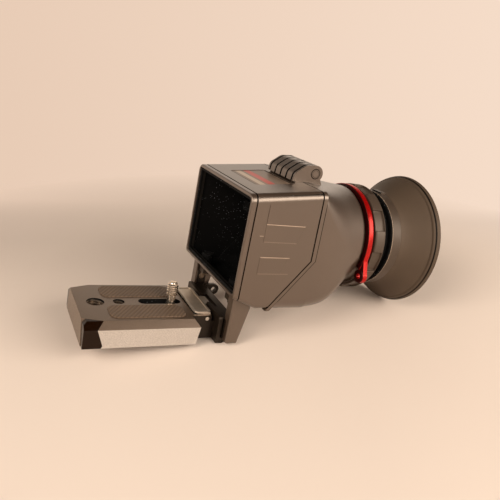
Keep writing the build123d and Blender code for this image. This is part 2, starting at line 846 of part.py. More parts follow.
def hinge_outline():
    """Side outline of the hinge cover ahead of the barrel."""
    low = box_top_at(cover_front) + cover_gap
    return [(w(cover_front), low), (w(cover_front + 0.5), cover_knee_z),
            (w(cover_ridge_y), cover_ridge_z), (w(hinge_y), hinge_z + barrel_r),
            (w(hinge_y), low)]


def hinge_cover():
    """Ribbed cover ahead of the pin, with a cheek at each end that carries the pin."""
    half = hinge_w / 2
    body = side_prism(hinge_outline(), -half, half)
    body += rod_x(barrel_r, -half, half, w(hinge_y), hinge_z)
    moving = half - cheek_t
    clear_r = barrel_r + open_gap
    body -= rod_x(clear_r, -moving, moving, w(hinge_y), hinge_z)
    body -= block(-moving, moving, w(hinge_y), w(hinge_y + 2 * barrel_r), hinge_z - 2 * barrel_r,
                  hinge_z + 2 * barrel_r)
    low = box_top_at(seam_top) - wall
    body -= block(-moving, moving, w(hinge_y - clear_r), w(hinge_y + overcut),
                  low - barrel_r, hinge_z)
    foot = [(w(cover_foot_front), box_top_at(cover_foot_front)),
            (w(seam_top - open_gap), box_top_at(seam_top - open_gap)),
            (w(seam_top - open_gap), hinge_z), (w(cover_foot_front), hinge_z)]
    x0 = moving - rib_pitch() / 2
    pillar = side_prism(foot, x0, half) - rod_x(clear_r, -moving, moving, w(hinge_y), hinge_z)
    body += pillar
    body += mirrored(pillar)
    for k in range(-2, 3):
        body -= rib_slot(k * rib_pitch(), rib_slot_t)
    body -= rod_x(hinge_pin_r + seat_gap, -half - overcut, half + overcut, w(hinge_y), hinge_z)
    for x in (-half, half - pin_cap_t - seat_gap):
        body -= rod_x(pin_cap_r + seat_gap, x, x + pin_cap_t + seat_gap, w(hinge_y), hinge_z)
    for side in (-1, 1):
        for y in cover_screw_depths():
            x = side * (half - cheek_t - 2.6)
            body -= rod_z(cover_screw_r + seat_gap, box_top, cover_screw_top(), x, w(y))
    return body


def cover_screw_top():
    """Top of the hidden screws inside the hinge cover."""
    return hinge_z - 2.0


def cover_screws():
    """Screws from inside the box up into the hinge cover."""
    y = cover_screw_depths()[0]
    x = hinge_w / 2 - cheek_t - 2.6
    low = box_top_at(y - 2 * cover_screw_r) - wall - seat_gap
    screw = rod_z(cover_screw_r, low, cover_screw_top() - seat_gap, x, w(y))
    screw += rod_z(2 * cover_screw_r, low - 1.2, low, x, w(y))
    return both_sides(screw)


def rib_pitch():
    """Distance between the slots across the hinge."""
    return (hinge_w / 2 - cheek_t - rib_slot_w / 2) / 2


def rib_slot(x, depth):
    """A slot that follows the front and the slope of the hinge cover."""
    outline = hinge_outline()[:4]
    inner = [(outline[0][0] + depth, outline[0][1] - overcut),
             (outline[1][0] + depth, outline[1][1] - depth / 2),
             (outline[2][0] + depth / 2, outline[2][1] - depth),
             (w(hinge_y), hinge_z + barrel_r - depth)]
    outer = [(w(hinge_y), hinge_z + 2 * barrel_r), (w(cover_front - 2), hinge_z + 2 * barrel_r),
             (w(cover_front - 2), outline[0][1] - overcut)]
    return side_prism(inner + outer, x - rib_slot_w / 2, x + rib_slot_w / 2)


def knuckle_spans():
    """Where the two moving knuckles lie across the hinge."""
    outer = hinge_w / 2 - cheek_t - knuckle_gap
    return [(-outer, -knuckle_gap / 2), (knuckle_gap / 2, outer)]


def hinge_pin():
    """Steel pin through the cheeks and the knuckles."""
    half = hinge_w / 2 - pin_cap_t - seat_gap
    return rod_x(hinge_pin_r, -half, half, w(hinge_y), hinge_z)


def pin_caps():
    """Moulded disc let into each cheek over the end of the pin."""
    half = hinge_w / 2
    cap = rod_x(pin_cap_r, half - pin_cap_t, half, w(hinge_y), hinge_z)
    return both_sides(chamfer(cap.faces().sort_by(Axis.X)[-1].edges(), pin_cap_groove))


def hinge_washers():
    """Friction washers in the gaps beside and between the knuckles."""
    gap = 2 * seat_gap
    washers = []
    outer = hinge_w / 2 - cheek_t
    for x0, x1 in ((-outer, -outer + knuckle_gap), (-knuckle_gap / 2, knuckle_gap / 2),
                   (outer - knuckle_gap, outer)):
        disc = rod_x(barrel_r - 1.3, x0 + gap, x1 - gap, w(hinge_y), hinge_z)
        disc -= rod_x(hinge_pin_r + seat_gap, x0, x1, w(hinge_y), hinge_z)
        washers.append(disc)
    return Compound(children=washers)


def rear_section(y, half_w, bottom, top, low_r, high_r):
    """Section of the rear housing: corners of one radius below and of another above."""
    plane = Plane((0, y, 0), x_dir=(1, 0, 0), z_dir=(0, -1, 0))
    corners = [(-half_w, bottom), (half_w, bottom), (half_w, top), (-half_w, top)]
    outline = make_face(Polyline(corners, close=True))
    low = outline.vertices().filter_by(lambda v: v.Y < (bottom + top) / 2)
    outline = fillet(low, low_r)
    high = outline.vertices().filter_by(lambda v: v.Y > top - 0.01 and abs(v.X) > half_w - 0.01)
    return plane * fillet(high, high_r)


def rear_form(inset, front):
    """The square mouth run into the round neck, as a solid."""
    sections = []
    for y, half_w, bottom, top, low_r, high_r in rear_stations:
        sections.append(rear_section(w(y), half_w - inset, bottom + inset, top - inset,
                                     low_r - inset, high_r - inset))
    straight = extrude(sections[0], amount=mouth_end_y - front, dir=(0, -1, 0))
    end_r = neck_lip_r - inset
    sections.append(rear_section(w(neck_lip_y), end_r, axis_z - end_r, axis_z + end_r,
                                 end_r - 0.2, end_r - 0.2))
    return straight + loft(sections)


def seam_cutter(gap):
    """Everything in front of the seam, and a gap more."""
    far = 3 * box_w
    fall = (knee_z - foot_z) / (knee_y - foot_y)
    ahead = mouth_r
    outline = [(w(foot_y + gap - ahead), foot_z - fall * ahead), (w(knee_y + gap), knee_z),
               (w(seam_top + gap), box_top_at(seam_top)), (w(seam_top + gap), far),
               (w(-far), far), (w(-far), foot_z - fall * ahead)]
    return side_prism(outline, -box_w, box_w)


def rear_housing():
    """Moulded shell from the seam to the neck, with its rim, knuckles and neck tube."""
    start = foot_y - 4
    body = rear_form(0, start)
    band = box_band()
    body += band
    body -= seam_cutter(open_gap)
    hollow = rear_form(wall, start - 2)
    neck_inset = neck_lip_y - 3 * wall
    plug = block(-box_w, box_w, w(start - 4), w(neck_inset), -box_w, 3 * box_w)
    body -= hollow & plug
    body -= rod_y(neck_bore_r, w(neck_inset - overcut), w(neck_lip_y + overcut), 0, axis_z)
    body += tube(neck_bore_r, neck_r, w(neck_lip_y - overcut), w(neck_end_y))
    collar_y0 = strap_y + strap_t + 0.3
    body += tube(neck_r - 0.5, strap_out_r - 2.2, w(collar_y0), w(ring_y - 0.3))
    groove = tube(circlip_in - seat_gap, neck_r + overcut, w(circlip_y - seat_gap),
                  w(circlip_y + circlip_t + seat_gap))
    body -= groove
    body -= block(-key_w / 2 - seat_gap, key_w / 2 + seat_gap, w(barrel_y - 8), w(neck_end_y + 1),
                  axis_z - barrel_out_r - key_h - 2 * seat_gap, axis_z - neck_bore_r + 2)
    y0 = w(seam_y_at(magnet_z) + open_gap)
    shelf = block(magnet_x - magnet_boss, rear_w / 2 - wall / 2, y0, y0 + magnet_t + wall,
                  magnet_z - magnet_boss, magnet_z + magnet_boss)
    shelf -= magnet_pocket(y0 - overcut, rear_magnet_face() + magnet_t + seat_gap)
    body += shelf
    body += mirrored(shelf)
    for x0, x1 in knuckle_spans():
        body += knuckle(x0, x1)
    return body - rod_x(hinge_pin_r + run_fit, -hinge_w, hinge_w, w(hinge_y), hinge_z)


def box_band():
    """Raised rim that meets the box along the seam and continues its outline."""
    half = box_w / 2
    band = [(w(foot_y), foot_z - rim_band_out * 4), (w(foot_y + rim_band), foot_z - 1.0),
            (w(knee_y + rim_band + open_gap), knee_z),
            (w(seam_top + rim_band + open_gap), box_top_at(seam_top)),
            (w(seam_top), box_top_at(seam_top)), (w(knee_y), knee_z)]
    body = side_prism(band, -half, half)
    top = body.edges().filter_by(lambda e: e.center().Z > box_top_at(seam_top) - 0.1
                                 and abs(e.tangent_at(0.5).Y) > 0.9)
    body = fillet(top, top_edge_r)
    return body


def knuckle(x0, x1):
    """A moving knuckle: a barrel on a short web that grows out of the rear housing."""
    body = rod_x(barrel_r, x0, x1, w(hinge_y), hinge_z)
    front = hinge_y - barrel_r + 0.6
    web = [(w(front), rear_top - wall), (w(hinge_y + barrel_r + 3.5), rear_top - wall),
           (w(hinge_y + barrel_r * 0.97), hinge_z - 1), (w(hinge_y), hinge_z),
           (w(front), hinge_z - 1.5)]
    return body + side_prism(web, x0, x1)


def field_mask():
    """Thin black plate across the mouth of the rear housing, with a square field opening."""
    half = rear_w / 2 - wall - seat_gap
    mask = extrude(rounded_section(w(mask_y), half, rear_bottom + wall + seat_gap,
                                   rear_top - wall - seat_gap, mouth_r - wall - seat_gap),
                   amount=mask_t, dir=(0, 1, 0))
    hole = block(-mask_open_w / 2, mask_open_w / 2, w(mask_y) - overcut,
                 w(mask_y + mask_t) + overcut, mask_open_bottom, mask_open_top)
    mask -= fillet(hole.edges().filter_by(Axis.Y), 4)
    side = magnet_boss + seat_gap
    relief = block(magnet_x - side, box_w, w(mask_y) - overcut, w(mask_y + mask_t) + overcut,
                   magnet_z - side, magnet_z + side)
    mask -= relief
    return mask - mirrored(relief)


def strap_ring():
    """Open red ring round the neck, with a flat strap eyelet at each end."""
    y0, y1 = w(strap_y), w(strap_y + strap_t)
    ring = tube(strap_in_r, strap_out_r, y0, y1)
    rims = ring.edges().filter_by(GeomType.CIRCLE)
    rims = [e for e in rims if e.radius > strap_in_r + overcut]
    ring = fillet(rims, strap_edge_r)
    reach = 2 * strap_out_r
    a = radians(strap_end_angle)
    gap = [(reach * cos(a), reach * sin(a)), (reach, 3 * reach), (-reach, 3 * reach),
           (-reach * cos(a), reach * sin(a)), (0, 0)]
    face = make_face(Polyline([(x, y0 - overcut, axis_z - z) for x, z in gap], close=True))
    body = ring - extrude(face, amount=strap_t + 2 * overcut, dir=(0, 1, 0))
    b = radians(eyelet_angle)
    for side in (-1, 1):
        x, z = side * eyelet_at_r * cos(b), axis_z - eyelet_at_r * sin(b)
        eyelet = rod_y(eyelet_r, y0, y1, x, z)
        body += chamfer(eyelet.edges().filter_by(GeomType.CIRCLE), strap_edge_r / 2)
        body += eyelet_blend(side, y0, y1)
        body -= rod_y(eyelet_hole_r, y0 - overcut, y1 + overcut, x, z)
    return body


def eyelet_blend(side, y0, y1):
    """Web that carries the ring's outer edge down to the eyelet."""
    c = radians(eyelet_blend_angle)
    b = radians(eyelet_angle)
    out = eyelet_at_r + eyelet_r * cos(b)
    points = [(strap_out_r * cos(c), -strap_out_r * sin(c)),
              (out * cos(b - eyelet_r / out / 2), -out * sin(b - eyelet_r / out / 2)),
              (eyelet_at_r * cos(b), -eyelet_at_r * sin(b)),
              (strap_in_r * cos(b - c), -strap_in_r * sin(b - c)),
              (strap_in_r * cos(c), -strap_in_r * sin(c))]
    edge = strap_edge_r / 2
    face = make_face(Polyline([(side * x, y0 + edge, axis_z + z) for x, z in points], close=True))
    web = extrude(face, amount=y1 - y0 - 2 * edge, dir=(0, 1, 0))
    return web - tube(0, strap_in_r, y0, y1)


def diopter_ring():
    """Scalloped focus ring with an inner flange that screws along the barrel."""
    y0, y1 = w(ring_y), w(ring_back_y)
    body = turned([(y0, neck_r + run_fit), (y1 - ring_flange_t, neck_r + run_fit),
                   (y1 - ring_flange_t, barrel_out_r + slide_fit), (y1, barrel_out_r + slide_fit),
                   (y1, ring_r - 0.6), (y1 - 0.6, ring_r), (y0 + 0.6, ring_r), (y0, ring_r - 0.6)])
    step = 360 / ring_lobes
    for k in range(ring_lobes):
        body -= scallop(k * step)
    return body - tube(neck_r, circlip_out + seat_gap, w(circlip_y - seat_gap),
                       w(circlip_y + circlip_t + seat_gap))


def scallop(angle):
    """Finger hollow in the rim of the diopter ring, one of the repeats."""
    step = 360 / ring_lobes
    hollow = turned_sector(ring_r - ring_scallop, ring_r + overcut, w(ring_y) - overcut,
                           w(ring_back_y - 1.0), angle, step / 2)
    return hollow


def turned_sector(r_in, r_out, y0, y1, angle, sweep_angle):
    """Part of a ring about the optical axis."""
    face = make_face(Polyline([(0, y0, axis_z + r_in), (0, y1, axis_z + r_in),
                               (0, y1, axis_z + r_out), (0, y0, axis_z + r_out)], close=True))
    axis = Axis((0, 0, axis_z), (0, 1, 0))
    return revolve(face, axis, sweep_angle).rotate(axis, angle)


def diopter_circlip():
    """Open clip that holds the diopter ring on the neck."""
    ring = tube(circlip_in, circlip_out, w(circlip_y), w(circlip_y + circlip_t))
    return ring - turned_sector(circlip_in - overcut, circlip_out + overcut,
                                w(circlip_y) - overcut, w(circlip_y + circlip_t) + overcut,
                                0, circlip_mouth)


def eyepiece_barrel():
    """Sliding lens barrel with a key below and a spigot for the eyecup."""
    y0, y1 = w(barrel_y), w(barrel_back_y)
    spigot_end = y1 + spigot_len
    body = turned([(y0, barrel_bore_r), (w(barrel_stop_y), barrel_bore_r),
                   (w(barrel_stop_y), barrel_stop_r), (spigot_end, barrel_stop_r),
                   (spigot_end, spigot_r), (y1, spigot_r), (y1, barrel_out_r),
                   (y0, barrel_out_r)])
    body -= tube(barrel_out_r - 2 * oring_r - seat_gap, barrel_out_r + overcut,
                 w(oring_y) - oring_r - seat_gap, w(oring_y) + oring_r + seat_gap)
    key_hole = rod_z(1.0, axis_z - barrel_out_r - overcut, axis_z - barrel_bore_r + overcut, 0,
                     w(key_y + key_len / 2))
    return body - key_hole


def guide_key():
    """Key under the barrel that keeps it from turning as it slides."""
    flat = barrel_out_r + 2 * seat_gap
    body = block(-key_w / 2, key_w / 2, w(key_y), w(key_y + key_len), axis_z - barrel_out_r
                 - key_h, axis_z - flat)
    return body + rod_z(1.0 - seat_gap, axis_z - flat - 0.1, axis_z - barrel_bore_r - 0.3, 0,
                        w(key_y + key_len / 2))


def barrel_oring():
    """Rubber ring that gives the barrel its smooth drag."""
    plane = Plane((0, w(oring_y), axis_z), x_dir=(1, 0, 0), z_dir=(0, 1, 0))
    return plane * Torus(barrel_out_r - oring_r, oring_r - 0.02)


def lens(edge_front, front_bulge, back_bulge):
    """A glass element with spherical faces and a ground edge."""
    r = barrel_bore_r - seat_gap
    y0, y1 = w(edge_front), w(edge_front + lens_edge_t)
    rim = Line((0, y0, axis_z + r), (0, y1, axis_z + r))
    back = ThreePointArc((0, y1, axis_z + r), *lens_arc(y1, r, back_bulge))
    centre = Line(back @ 1, (0, y0 - front_bulge, axis_z))
    front = ThreePointArc((0, y0, axis_z + r), *lens_arc(y0, r, -front_bulge))
    face = make_face([rim, back, centre, front])
    return revolve(face, Axis((0, 0, axis_z), (0, 1, 0)), 360)


def lens_arc(y, r, bulge):
    """Middle and end of the arc from a lens's rim to its axis."""
    if abs(bulge) < 0.05:
        bulge = 0.05
    radius = (r * r + bulge * bulge) / (2 * abs(bulge))
    half = r / 2
    sag = radius - (radius * radius - half * half) ** 0.5
    sign = 1 if bulge > 0 else -1
    return (0, y + bulge - sign * sag, axis_z + half), (0, y + bulge, axis_z)


def lens_spacer():
    """Black ring between the two glass elements."""
    y0 = w(front_lens_y + lens_edge_t)
    y1 = w(rear_lens_y())
    return lens_seat(barrel_stop_r, y0 + seat_gap, y1 - seat_gap, True, True)


def rear_lens_y():
    """Front of the rear element's edge, against the shoulder in the barrel."""
    return barrel_stop_y - lens_edge_t - seat_gap


def lens_retainer():
    """Ring at the front of the barrel that clamps the elements."""
    y1 = w(front_lens_y - seat_gap)
    return lens_seat(barrel_stop_r - 0.6, y1 - retainer_t, y1, False, True)


def lens_seat(r_in, y0, y1, front_relief, back_relief):
    """A ring that touches an element only at its rim, relieved for the curved glass."""
    relief = 0.3 * lens_bulge
    r_out = barrel_bore_r - seat_gap
    return turned([(y0, r_out), (y0 + relief * front_relief, r_in),
                   (y1 - relief * back_relief, r_in), (y1, r_out)])


def cup_ring():
    """Ring on the barrel's spigot that carries the eyecup, with a small index tab."""
    y0, y1 = w(cup_ring_y), w(cup_ring_back)
    body = turned([(y0, spigot_r + seat_gap), (y1 - 2.0, spigot_r + seat_gap),
                   (y1 - 2.0, barrel_stop_r), (y1, barrel_stop_r), (y1, cup_ring_r - 0.4),
                   (y1 - 0.4, cup_ring_r), (y0 + 0.8, cup_ring_r), (y0, cup_ring_r - 0.8)])
    top = axis_z + cup_ring_r
    tab = block(-tab_w / 2, tab_w / 2, y1 - tab_len, y1, top - 2.0, top + tab_t)
    return body + fillet(tab.edges().filter_by(Axis.Z).sort_by(Axis.Y)[:2], 1.2)


def eyecup():
    """Round rubber cup: a concave flare, a beaded rim and an open hollow."""
    root, rim = w(cup_ring_back), w(cup_rim_y)
    run = rim - root
    reach = cup_rim_r - cup_root_r
    outer = [(root, cup_root_r), (root + run * 0.22, cup_root_r + reach * 0.13),
             (root + run * 0.43, cup_root_r + reach * 0.38),
             (root + run * 0.62, cup_root_r + reach * 0.66),
             (rim - rim_band_len, cup_root_r + reach * 0.82)]
    points = [(0, y, axis_z + r) for y, r in outer]
    flare = Spline(points)
    outer_end = (rim - cup_bead, cup_rim_r - cup_bead / 2)
    inner = [(y + cup_wall * 0.55, r - cup_wall * 0.85) for y, r in [*outer, outer_end]]
    inner[0] = (root, cup_root_r - cup_wall - 0.6)
    inner_curve = Spline([(0, y, axis_z + r) for y, r in inner])
    band_foot = (0, rim - rim_band_len, axis_z + cup_root_r + reach * 0.82 + rim_band_step)
    bead_top = (0, rim - cup_bead, axis_z + cup_rim_r)
    lip = (0, rim, axis_z + cup_rim_r - cup_bead)
    bulge = cup_bead / 4
    edges = [flare, Line(flare @ 1, band_foot),
             ThreePointArc(band_foot, (0, rim - rim_band_len / 2, bead_top[2] - bulge), bead_top),
             ThreePointArc(bead_top, (0, rim - bulge, bead_top[2] - bulge), lip),
             Line(lip, inner_curve @ 1), inner_curve, Line(inner_curve @ 0, flare @ 0)]
    return revolve(make_face(edges), Axis((0, 0, axis_z), (0, 1, 0)), 360)


def build():
    """Write every node."""
    os.makedirs("parts", exist_ok=True)
    save(base_plate(), "base_plate")
    save(rail_stops(), "rail_stops")
    save(pad(1), "pad_near")
    save(pad(-1), "pad_far")
    save(screw_slider(), "screw_slider")
    save(camera_screw(), "camera_screw")
    save(latch_lever(), "latch_lever")
    save(latch_pin(), "latch_pin")
    save(latch_springs(), "latch_springs")
    save(bracket_plate(), "bracket_plate")
    save(bracket_screws(), "bracket_screws")
    save(u_frame(), "u_frame")
    save(leg(1), "leg_near")
    save(leg(-1), "leg_far")
    save(leg_screws(), "leg_screws")
    save(frame_bolts(), "frame_bolts")
    save(front_bezel(), "front_bezel")
    save(window_gasket(), "window_gasket")
    save(front_housing(), "front_housing")
    save(label_panel(), "label_panel")
    save(magnets(front_magnet_face() - magnet_t), "front_magnets")
    save(hinge_cover(), "hinge_cover")
    save(cover_screws(), "cover_screws")
    save(hinge_pin(), "hinge_pin")
    save(pin_caps(), "pin_caps")
    save(hinge_washers(), "hinge_washers")
    save(rear_housing(), "rear_housing")
    save(magnets(rear_magnet_face()), "rear_magnets")
    save(field_mask(), "field_mask")
    save(strap_ring(), "strap_ring")
    save(diopter_ring(), "diopter_ring")
    save(diopter_circlip(), "diopter_circlip")
    save(eyepiece_barrel(), "eyepiece_barrel")
    save(guide_key(), "guide_key")
    save(barrel_oring(), "barrel_oring")
    save(lens(front_lens_y, lens_bulge, lens_bulge), "front_lens")
    save(lens_spacer(), "lens_spacer")
    save(lens(rear_lens_y(), lens_bulge, 0), "rear_lens")
    save(lens_retainer(), "lens_retainer")
    save(cup_ring(), "cup_ring")
    save(eyecup(), "eyecup")


build()
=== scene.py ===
import json
from math import atan2, cos, pi, radians, sin

import bpy
from mathutils import Matrix, Vector


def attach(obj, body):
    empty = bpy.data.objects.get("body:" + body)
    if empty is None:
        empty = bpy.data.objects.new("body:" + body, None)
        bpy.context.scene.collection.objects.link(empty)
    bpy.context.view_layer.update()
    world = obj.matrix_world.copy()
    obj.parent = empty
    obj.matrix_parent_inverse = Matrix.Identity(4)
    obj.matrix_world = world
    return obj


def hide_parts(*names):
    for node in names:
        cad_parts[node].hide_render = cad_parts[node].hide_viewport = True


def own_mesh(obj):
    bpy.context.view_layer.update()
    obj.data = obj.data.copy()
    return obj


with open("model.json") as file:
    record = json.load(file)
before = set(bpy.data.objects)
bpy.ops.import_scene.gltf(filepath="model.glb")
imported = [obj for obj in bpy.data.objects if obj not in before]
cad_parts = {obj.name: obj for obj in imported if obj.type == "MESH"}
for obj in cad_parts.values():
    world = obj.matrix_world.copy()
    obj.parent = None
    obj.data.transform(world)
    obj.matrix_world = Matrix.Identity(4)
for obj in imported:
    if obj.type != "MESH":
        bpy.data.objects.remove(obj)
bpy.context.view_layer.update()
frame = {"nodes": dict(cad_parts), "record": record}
NODES = frame["nodes"]
BODY_OF = {n: body for body, names in frame["record"]["behaviour"]["bodies"].items()
           for n in names}
SLOT_OF = {s["node"]: s["material_slot"] for s in frame["record"]["subparts"]}
MM = 0.001

# Places of the part that the pieces below are set against, in millimetres
WINDOW_Y = 49.4
AXIS_Z = 60.4

# Base plate, with its sockets as (y, bore radius, pitch)
PLATE_T = 14.0
PLATE_HALF_W = 26.3
RAIL_BACK = 36.8
TONGUE_HALF_W = 19.5
TRACK_HALF_W = 7.2
TRACK_FRONT = -20.0
SOCKETS = ((0.0, 3.175, 1.27), (-12.7, 4.7625, 1.5875))
SOCKET_THREAD_LOW = 0.6
SOCKET_THREAD_HIGH = PLATE_T - 0.4
FALL_BLOCK = 20
FALL_ANGLE = 30
FALL_WAY = (-0.934, -0.357)
FALL_EDGE = (-20.85, -17.7, PLATE_T - 0.15)

# Camera screw
SCREW_Y = 30.1
SCREW_HEAD_LOW = 0.5
SCREW_HEAD_HIGH = 3.7
SCREW_HEAD_R = 5.2
SCREW_SHANK_R = 2.4
SCREW_TOP = 26.0
THREAD_LEN = 7.6
THREAD_R = 3.175
THREAD_PITCH = 1.27
THREAD_DEPTH = 0.75
HEAD_CHAMFER = 0.5
HEAD_EDGE = 0.3
COLLAR = 0.4
COIN_SLOT = (12, 1.2, 2.0)

# Thread tooth, as shares of the pitch: half its foot, half its crest, and its first height
FOOT_SHARE = 0.46
CREST_SHARE = 0.10
START_SHARE = 0.9

# Window box, the label on it, and painted highlights along the raised bands on its cheeks as (z,
# from y, to y, strength); the bezel's joint and the label's margin get painted shade
BOX_HALF_W = 38.2
BOX_FLOOR = 32.4
BOX_TOP = 89.2
BOX_RISE = 0.119
FOOT_RUN = 14.6
FOOT_Z = 26.5
SEAM_FACES_DEPTH = 20
MID_WALL = 1.1
BEZEL_LIP = 3.4
BEZEL_SHADE_LINE = (WINDOW_Y + 2.6, WINDOW_Y + 3.5)
LABEL_HALF_W = 17.0
LABEL = (WINDOW_Y + 12.1, WINDOW_Y + 32.9)
LABEL_STRIP = (WINDOW_Y + 14.2, WINDOW_Y + 17.4)
LABEL_STRIPE = (WINDOW_Y + 19.4, WINDOW_Y + 23.4)
HIGHLIGHT_HALF_WIDTH = 0.16
PAINTED_BAND_HIGHLIGHTS = ((74.7, 60.5, 84.0, 1.0), (65.2, 60.9, 80.6, 0.35), (56.65, 60.6, 78.4, 1.0),
           (68.25, 57.8, 60.0, 0.7), (47.4, 60.8, 79.5, 0.3))

# Seam between box and shell: knees of its painted shade lines as (y, z), and the way behind its
# two runs
SEAM_KNEE = (92.6, 55.2)
SHELL_SEAM_KNEE = (93.0, 55.2)
RIM_KNEE = (95.5, 55.2)
BEHIND_UPPER_RUN = (0, 0.9995, 0.0308)
BEHIND_LOWER_RUN = (0, 0.793, -0.609)

# Hinge cover and the caps of its pin
RIB_PITCH = 6.575
RIB_KNEES = ((84.7, 98.9), (91.4, 104.0))
RIB_KNEE_R = 1.5
PIN = (0, 98.1, 99.7)
PIN_R = 3.0
CAP_FINE_RING = (1.85, 2.1)

# Shell, neck, barrel and eyecup
SHELL_TAPER_DEPTH = 26
SHELL_MOUTH_R = 33
NECK_END_Y = 95.2
BARREL_BACK_Y = 104.4
# Band of the painted highlight on the front edge of the ring that carries the eyecup
CUP_RING_HIGHLIGHT = (153.9, 154.7)
# Band and radii of the painted shade in the groove before the eyecup's rim bead
RIM_SHADE_BAND = (179.35, 180.15)
RIM_SHADE_RADII = (40.3, 50)

# Rounded edges and smooth shading of the CAD forms, angles in degrees
EDGE_ANGLE = 32
EDGE_STEPS = 2
SMOOTH_ANGLE = 40

# Floor that the tipped object rests on, in metres: where it meets Z = 0, its rise and its disc
FLOOR_Y = 54.9 * MM
FLOOR_SLOPE = 0.1425
FLOOR_R = 9.0
FLOOR_MIDDLE_Y = 0.12

# Directions on the floor to the picture's right and to its far side, and where it turns wall
FLOOR_SIDEWAYS = (0.433, 0.901, 0)
FLOOR_AWAY = (-0.974, 0.279, 0)
FLOOR_TO_WALL = (0.20, 0.38)
# How far out the painted shadow and painted shade on the floor reach, in metres
PAINTED_SHADE_END = (0.38, 0.62)

# Direction of the room's dark corner, which the shell mirrors
DARK_CORNER = (-0.342, 0.94, 0)

# The photograph's lens, the place it was taken from in metres, and its picture's directions
LENS = 39.01
EYE = (0.27140, -0.07592, 0.14125)
SIDEWAYS = (0.4249, 0.8847, 0.1916)
UPWARDS = (-0.3453, -0.0372, 0.9377)
BACKWARDS = (0.8368, -0.4646, 0.2897)


def srgb(r, g, b):
    """A colour read as 0-255 screen values, made linear."""
    def linear(c):
        c /= 255
        return c / 12.92 if c <= 0.04045 else ((c + 0.055) / 1.055) ** 2.4
    return (linear(r), linear(g), linear(b), 1.0)


# Black of the painted shade in seams, gaps and grooves
PAINTED_SHADE_BLACK = srgb(14, 9, 6)


# Camera

def set_camera():
    """The photograph's viewing angle, calibrated on the plate, box and neck."""
    data = bpy.data.cameras.new("photo_camera")
    data.lens = LENS
    data.sensor_width = 36.0
    data.clip_start = 0.01
    data.clip_end = 20.0
    camera = bpy.data.objects.new("photo_camera", data)
    bpy.context.scene.collection.objects.link(camera)
    turn = Matrix((SIDEWAYS, UPWARDS, BACKWARDS)).transposed().to_4x4()
    camera.matrix_world = Matrix.Translation(EYE) @ turn
    bpy.context.scene.camera = camera


# Steps that the finishes are made of

def new_finish(name):
    """A new material, with its node tree and its shader."""
    material = bpy.data.materials.new(name)
    material.use_nodes = True
    tree = material.node_tree
    shader = tree.nodes["Principled BSDF"]
    return material, tree, shader


def place_of(tree):
    """Object coordinates."""
    return tree.nodes.new("ShaderNodeTexCoord").outputs["Object"]


def noise(tree, where, scale, detail=3.0, stretch=None):
    """Noise on Object coordinates, stretched along an axis where the finish is brushed."""
    if stretch:
        mapping = tree.nodes.new("ShaderNodeMapping")
        mapping.inputs["Scale"].default_value = stretch
        tree.links.new(where, mapping.inputs["Vector"])
        where = mapping.outputs["Vector"]
    node = tree.nodes.new("ShaderNodeTexNoise")
    node.inputs["Scale"].default_value = scale
    node.inputs["Detail"].default_value = detail
    tree.links.new(where, node.inputs["Vector"])
    return node.outputs["Fac"]


def ramp(tree, value, low, high, first, last):
    """Colour ramp from first to last between two values."""
    node = tree.nodes.new("ShaderNodeValToRGB")
    node.color_ramp.elements[0].position = low
    node.color_ramp.elements[1].position = high
    node.color_ramp.elements[0].color = first
    node.color_ramp.elements[1].color = last
    tree.links.new(value, node.inputs["Fac"])
    return node.outputs["Color"]


def span(tree, value, low, high, to_low, to_high):
    """Map Range of one value."""
    node = tree.nodes.new("ShaderNodeMapRange")
    node.inputs["From Min"].default_value = low
    node.inputs["From Max"].default_value = high
    node.inputs["To Min"].default_value = to_low
    node.inputs["To Max"].default_value = to_high
    tree.links.new(value, node.inputs["Value"])
    return node.outputs["Result"]


def mixed(tree, factor, first, last):
    """Mix of two colours, each a socket or a plain colour."""
    node = tree.nodes.new("ShaderNodeMix")
    node.data_type = "RGBA"
    tree.links.new(factor, node.inputs[0])
    for socket, colour in ((node.inputs[6], first), (node.inputs[7], last)):
        if isinstance(colour, tuple):
            socket.default_value = colour
        else:
            tree.links.new(colour, socket)
    return node.outputs[2]


def shaded(colour, by):
    """The colour made darker or lighter by a factor."""
    return tuple(min(1.0, c * by) for c in colour[:3]) + (1.0,)


def dimmed(tree, colour, amount, by):
    """The colour made darker, up to a factor, where amount reaches one."""
    factor = span(tree, amount, 0.0, 1.0, 1.0, by)
    node = tree.nodes.new("ShaderNodeVectorMath")
    node.operation = "SCALE"
    tree.links.new(colour, node.inputs[0])
    tree.links.new(factor, node.inputs["Scale"])
    return node.outputs["Vector"]


def two_values(tree, operation, first, second):
    """Math of two values."""
    node = tree.nodes.new("ShaderNodeMath")
    node.operation = operation
    tree.links.new(first, node.inputs[0])
    tree.links.new(second, node.inputs[1])
    return node.outputs["Value"]


def times(tree, first, second):
    """Product of two values."""
    return two_values(tree, "MULTIPLY", first, second)


def larger(tree, first, second):
    """The larger of two values."""
    return two_values(tree, "MAXIMUM", first, second)


def with_vector(tree, operation, vector, *others):
    """Vector Math of a vector and plain ones."""
    node = tree.nodes.new("ShaderNodeVectorMath")
    node.operation = operation
    tree.links.new(vector, node.inputs[0])
    for place, other in enumerate(others, 1):
        node.inputs[place].default_value = other
    return node.outputs


def along(tree, vector, direction):
    """How far a vector reaches in a direction."""
    return with_vector(tree, "DOT_PRODUCT", vector, direction)["Value"]


def length_of(tree, vector):
    """Length of a vector."""
    return with_vector(tree, "LENGTH", vector)["Value"]


def from_axis(tree, where, across, place):
    """Distance from an axis, given what counts across it and a place on it in millimetres."""
    back = [-c * MM for c in place]
    return length_of(tree, with_vector(tree, "MULTIPLY_ADD", where, across, back)["Vector"])


def band(tree, value, start, end, soft=0.15):
    """One between two places in millimetres, and zero outside them."""
    rise = span(tree, value, (start - soft) * MM, start * MM, 0.0, 1.0)
    fall = span(tree, value, end * MM, (end + soft) * MM, 1.0, 0.0)
    return times(tree, rise, fall)


